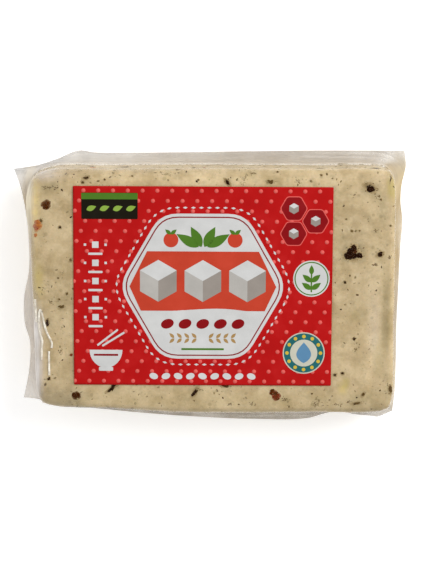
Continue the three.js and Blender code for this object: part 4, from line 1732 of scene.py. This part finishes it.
class TOFU_PACK_OT_folds(Operator):
    """Pinch the film into sharp folds at the top edges and at the corners of the walls"""

    bl_idname = "tofu_pack.folds"
    bl_label = "Film folds"

    def execute(self, context):
        film = needed("film_pouch")
        points, edges, widths = [], [], []
        flat = [(width, [(x * MM + BLOCK_SHIFT[0], y * MM + BLOCK_SHIFT[1], LAND_HEIGHT) for x, y in path])
                for width, path in FILM_FOLDS]
        for width, path in flat + corner_folds(settings().tofu.seed + 21):
            first = len(points)
            points += path
            edges += [(first + i, first + i + 1) for i in range(len(path) - 1)]
            widths += [width] * len(path)
        paths = bpy.data.meshes.new("fold paths")
        paths.from_pydata(points, edges, [])
        store(paths, "width", widths)
        holder = holder_of(paths)
        material = fold_material()
        tree = fold_tree(material)
        mesh = run_tree(holder, tree, {"Surface": film, "Radius": settings().film.fold_radius})
        bpy.data.objects.remove(holder)
        piece("film_folds", mesh, [material])
        return {"FINISHED"}


# ---- The label -------------------------------------------


class TOFU_PACK_OT_label(Operator):
    """Lay the paper label on the film"""

    bl_idname = "tofu_pack.label"
    bl_label = "Paper label"

    def execute(self, context):
        half_length, half_width = LABEL_LENGTH / MM / 2, LABEL_WIDTH / MM / 2
        corners = [(-half_length, -half_width), (half_length, -half_width), (half_length, half_width),
                   (-half_length, half_width)]
        outline = rounded(corners, LABEL_CORNER_RADIUS / MM)
        points, faces, edge = slab(outline, 0, LABEL_THICKNESS, 1.6)
        mesh = mesh_of("label_paper", points, faces + edge)
        for polygon in mesh.polygons[len(faces):]:
            polygon.material_index = 1
            polygon.use_smooth = False
        ground = paper_material("red label print", tuple(settings().label.red))
        cut = paper_material("label paper", (0.78, 0.76, 0.70), 0.7)
        piece("label_paper", mesh, [ground, cut], ["label"])
        return {"FINISHED"}


# Height from which each dot is dropped onto the label, the first dots' distance from its left edge, and how
# far inside its ends the dots are cut.
DOT_DROP = 0.1
FIRST_DOT = 0.25 * MM
DOT_CUT = 0.03 * MM


def dot_tree(material):
    """Rows of dots, each shifted from the row below, cut at the label's ends and laid down onto a surface."""
    tree, given, output = new_tree("label dots", {
        "Geometry": "Geometry", "Surface": "Object", "Middle": "Vector", "Turn": "Float", "Columns": "Int",
        "Rows": "Int", "Pitch": "Float", "Row Pitch": "Float", "Row Shift": "Float", "First": "Vector",
        "Dot Radius": "Float", "Dot Height": "Float", "Half Length": "Float",
    })
    length = times(tree, minus(tree, given["Columns"], 1.0), given["Pitch"])
    width = times(tree, minus(tree, given["Rows"], 1.0), given["Row Pitch"])
    grid = node(tree, "GeometryNodeMeshGrid", {
        "Size X": length, "Size Y": width, "Vertices X": given["Columns"], "Vertices Y": given["Rows"],
    }).outputs["Mesh"]
    x, y, z = split(tree, node(tree, "GeometryNodeInputPosition").outputs[0])
    from_first = plus(tree, y, times(tree, width, 0.5))
    row = maths(tree, "ROUND", maths(tree, "DIVIDE", from_first, given["Row Pitch"]))
    shift = maths(tree, "FRACT", times(tree, row, given["Row Shift"]))
    shift = times(tree, minus(tree, shift, 1.0), given["Pitch"])
    corner = joined(tree, plus(tree, shift, times(tree, length, 0.5)), times(tree, width, 0.5))
    offset = vector_maths(tree, "ADD", corner, given["First"])
    grid = geometry_node(tree, "SetPosition", grid, {"Offset": offset})
    outside = maths(tree, "GREATER_THAN", maths(tree, "ABSOLUTE", x), given["Half Length"])
    grid = geometry_node(tree, "DeleteGeometry", grid, {"Selection": outside})
    dot = node(tree, "GeometryNodeMeshCylinder", {
        "Vertices": 16, "Radius": given["Dot Radius"], "Depth": given["Dot Height"],
    }, fill_type="TRIANGLE_FAN").outputs[0]
    dots = node(tree, "GeometryNodeInstanceOnPoints", {"Points": grid, "Instance": dot}).outputs[0]
    loose = geometry_node(tree, "RealizeInstances", dots)
    left_end = times(tree, given["Half Length"], -1.0)
    kept = maths(tree, "MAXIMUM", maths(tree, "MINIMUM", x, given["Half Length"]), left_end)
    trimmed = geometry_node(tree, "SetPosition", loose, {"Position": joined(tree, kept, y, z)})
    place = {"Translation": given["Middle"], "Rotation": joined(tree, z=given["Turn"])}
    turned = geometry_node(tree, "Transform", trimmed, place)
    surface = node(tree, "GeometryNodeObjectInfo", {"Object": given["Surface"]}).outputs["Geometry"]
    hit = node(tree, "GeometryNodeRaycast", {
        "Target Geometry": surface, "Source Position": joined(tree, x, y, DOT_DROP),
        "Ray Direction": (0, 0, -1), "Ray Length": 2 * DOT_DROP,
    })
    laid = vector_maths(tree, "ADD", hit.outputs["Hit Position"], joined(tree, z=z))
    finish_tree(tree, output, geometry_node(tree, "SetPosition", turned, {"Position": laid}), material)
    return tree


class TOFU_PACK_OT_dots(Operator):
    """Print the pale dots on the label"""

    bl_idname = "tofu_pack.dots"
    bl_label = "Label dots"

    def execute(self, context):
        label = settings().label
        paper = needed("label_paper")
        material = paper_material("pale dot ink", INKS["dot"])
        rows = int((LABEL_WIDTH - 2 * label.dot_margin) / label.row_pitch) + 1
        holder = holder_of(bpy.data.meshes.new("dots"))
        mesh = run_tree(holder, dot_tree(material), {
            "Surface": paper,
            "Middle": (*label_place()[:2], 0.0),
            "Turn": LABEL_TURN,
            "Columns": int(LABEL_LENGTH / label.dot_pitch) + 2,
            "Rows": rows,
            "Pitch": label.dot_pitch,
            "Row Pitch": label.row_pitch,
            "Row Shift": label.row_shift,
            "First": (FIRST_DOT - LABEL_LENGTH / 2, label.dot_margin - LABEL_WIDTH / 2, 0.0),
            "Dot Radius": label.dot_size / 2,
            "Dot Height": 2 * INK_STEP,
            "Half Length": LABEL_LENGTH / 2 - DOT_CUT,
        })
        bpy.data.objects.remove(holder)
        piece("label_dots", mesh, [material])
        return {"FINISHED"}


INKS = {
    "white": (0.57, 0.57, 0.56),
    "cream": (0.52, 0.51, 0.42),
    "coral": (0.50, 0.050, 0.024),
    "dot": (0.70, 0.115, 0.10),
    "crimson": (0.23, 0.005, 0.007),
    "leaf": (0.070, 0.17, 0.018),
    "lime": (0.23, 0.36, 0.055),
    "ochre": (0.36, 0.22, 0.085),
    "black": (0.010, 0.008, 0.004),
    "teal": (0.017, 0.12, 0.13),
    "blue": (0.10, 0.23, 0.38),
    "yellow": (0.58, 0.42, 0.05),
    "grey": (0.42, 0.40, 0.37),
    "shade": (0.29, 0.255, 0.225),
}


class TOFU_PACK_OT_print(Operator):
    """Print the badge and the small emblems on the label"""

    bl_idname = "tofu_pack.print"
    bl_label = "Label print"

    def execute(self, context):
        names = list(INKS)
        points, faces, inks = [], [], []
        for ink, layer, outline in (shape for part in PRINT_PARTS for shape in part()):
            rise = (layer + 1) * INK_STEP
            part_points, top, rest = slab(outline, rise, rise + INK_STEP, 3.0)
            first = len(points)
            points += part_points.tolist()
            faces += [tuple(first + i for i in face) for face in top + rest]
            inks += [names.index(ink)] * (len(top) + len(rest))
        mesh = mesh_of("label_print", points, faces)
        mesh.polygons.foreach_set("use_smooth", [False] * len(faces))
        materials = [paper_material(f"{name} ink", INKS[name]) for name in names]
        piece("label_print", mesh, materials)
        mesh.polygons.foreach_set("material_index", inks)
        return {"FINISHED"}


# ---- Floor, light and camera -----------------------------


FLOOR_REACH = 4.0
FLOOR_GLOW = 0.34
ROOM_LIGHT = 0.54

# Softboxes: name, place, width and power, all turned to the same place low on the pack.
SOFTBOXES = [
    ("key softbox", (0.62, 0.52, 0.70), 0.6, 8.4),
    ("left softbox", (-0.75, 0.05, 0.50), 0.5, 1.2),
    ("front softbox", (0.10, -0.75, 0.70), 0.8, 1.0),
]
LIT_PLACE = Vector((0, 0, 0.01))

# Where the camera aims on the top face, from the block's own middle, and its sensor in millimetres.
CAMERA_AIM = (1.38 * MM, 1.60 * MM)
SENSOR_WIDTH = 36


def floor_material():
    """Pale floor that glows a little, so that it stays white round the pack."""
    material, tree, output = new_material("pale floor")
    bright = tuple(settings().stage.floor_colour)
    faint = noise_of(tree, object_coordinates(tree), 0.25, 3)
    colour = ramp(tree, faint, [(0.3, tuple(c * 0.985 for c in bright)), (0.7, bright)])
    shader = principled(tree, {
        "Base Color": colour,
        "Roughness": 0.7,
        "Emission Color": (1, 1, 1, 1),
        "Emission Strength": FLOOR_GLOW,
    })
    tree.links.new(shader, output.inputs[0])
    return material


class TOFU_PACK_OT_stage(Operator):
    """Set up the floor, the lights and the camera"""

    bl_idname = "tofu_pack.stage"
    bl_label = "Stage"

    def execute(self, context):
        stage = settings().stage
        scene = context.scene
        corners = [(i * FLOOR_REACH, j * FLOOR_REACH, 0) for i, j in ((-1, -1), (1, -1), (1, 1), (-1, 1))]
        floor = bpy.data.objects.new("floor", mesh_of("floor", corners, [(0, 1, 2, 3)]))
        scene.collection.objects.link(floor)
        floor.data.materials.append(floor_material())

        world = bpy.data.worlds.new("soft white room")
        world.use_nodes = True
        background = world.node_tree.nodes["Background"]
        background.inputs["Color"].default_value = (1, 1, 1, 1)
        background.inputs["Strength"].default_value = ROOM_LIGHT
        scene.world = world
        for name, place, size, power in SOFTBOXES:
            light = bpy.data.lights.new(name, "AREA")
            light.shape = "SQUARE"
            light.size = size
            light.energy = power
            lamp = bpy.data.objects.new(name, light)
            lamp.location = place
            lamp.rotation_euler = (LIT_PLACE - Vector(place)).to_track_quat("-Z", "Y").to_euler()
            scene.collection.objects.link(lamp)

        camera_data = bpy.data.cameras.new("camera")
        camera_data.lens = stage.lens
        camera_data.sensor_width = SENSOR_WIDTH
        camera = bpy.data.objects.new("camera", camera_data)
        tilt = stage.camera_tilt
        target = Vector((BLOCK_SHIFT[0] + CAMERA_AIM[0], BLOCK_SHIFT[1] + CAMERA_AIM[1], LAND_HEIGHT))
        lean = Vector((0, math.sin(tilt), math.cos(tilt)))
        camera.location = target + lean * stage.camera_distance
        camera.rotation_euler = (-tilt, 0, 0)
        scene.collection.objects.link(camera)
        scene.camera = camera
        scene.view_settings.view_transform = "Standard"
        scene.view_settings.look = "None"
        return {"FINISHED"}


class TOFU_PACK_PT_panel(Panel):
    """Lists what the tofu pack is made of"""

    bl_idname = "TOFU_PACK_PT_panel"
    bl_label = "Tofu pack"
    bl_space_type = "VIEW_3D"
    bl_region_type = "UI"
    bl_category = "Tofu pack"

    def draw(self, context):
        groups = context.scene.tofu_pack
        for group in (groups.tofu, groups.film, groups.label, groups.stage):
            box = self.layout.box()
            for name in group.__annotations__:
                box.prop(group, name)
        for step in STEPS:
            self.layout.operator(step.bl_idname)


STEPS = (
    TOFU_PACK_OT_stage,
    TOFU_PACK_OT_block,
    TOFU_PACK_OT_flecks,
    TOFU_PACK_OT_clumps,
    TOFU_PACK_OT_tomato,
    TOFU_PACK_OT_film,
    TOFU_PACK_OT_folds,
    TOFU_PACK_OT_label,
    TOFU_PACK_OT_dots,
    TOFU_PACK_OT_print,
)
CLASSES = (TofuSettings, FilmSettings, LabelSettings, StageSettings, TofuPackSettings, *STEPS,
           TOFU_PACK_PT_panel)


def register():
    for made in CLASSES:
        bpy.utils.register_class(made)
    bpy.types.Scene.tofu_pack = PointerProperty(type=TofuPackSettings)


def unregister():
    del bpy.types.Scene.tofu_pack
    for made in reversed(CLASSES):
        bpy.utils.unregister_class(made)


def main():
    register()
    bpy.ops.tofu_pack.stage()
    bpy.ops.tofu_pack.block()
    bpy.ops.tofu_pack.flecks()
    bpy.ops.tofu_pack.clumps()
    bpy.ops.tofu_pack.tomato()
    bpy.ops.tofu_pack.film()
    bpy.ops.tofu_pack.folds()
    bpy.ops.tofu_pack.label()
    bpy.ops.tofu_pack.dots()
    bpy.ops.tofu_pack.print()


if __name__ == "__main__":
    main()
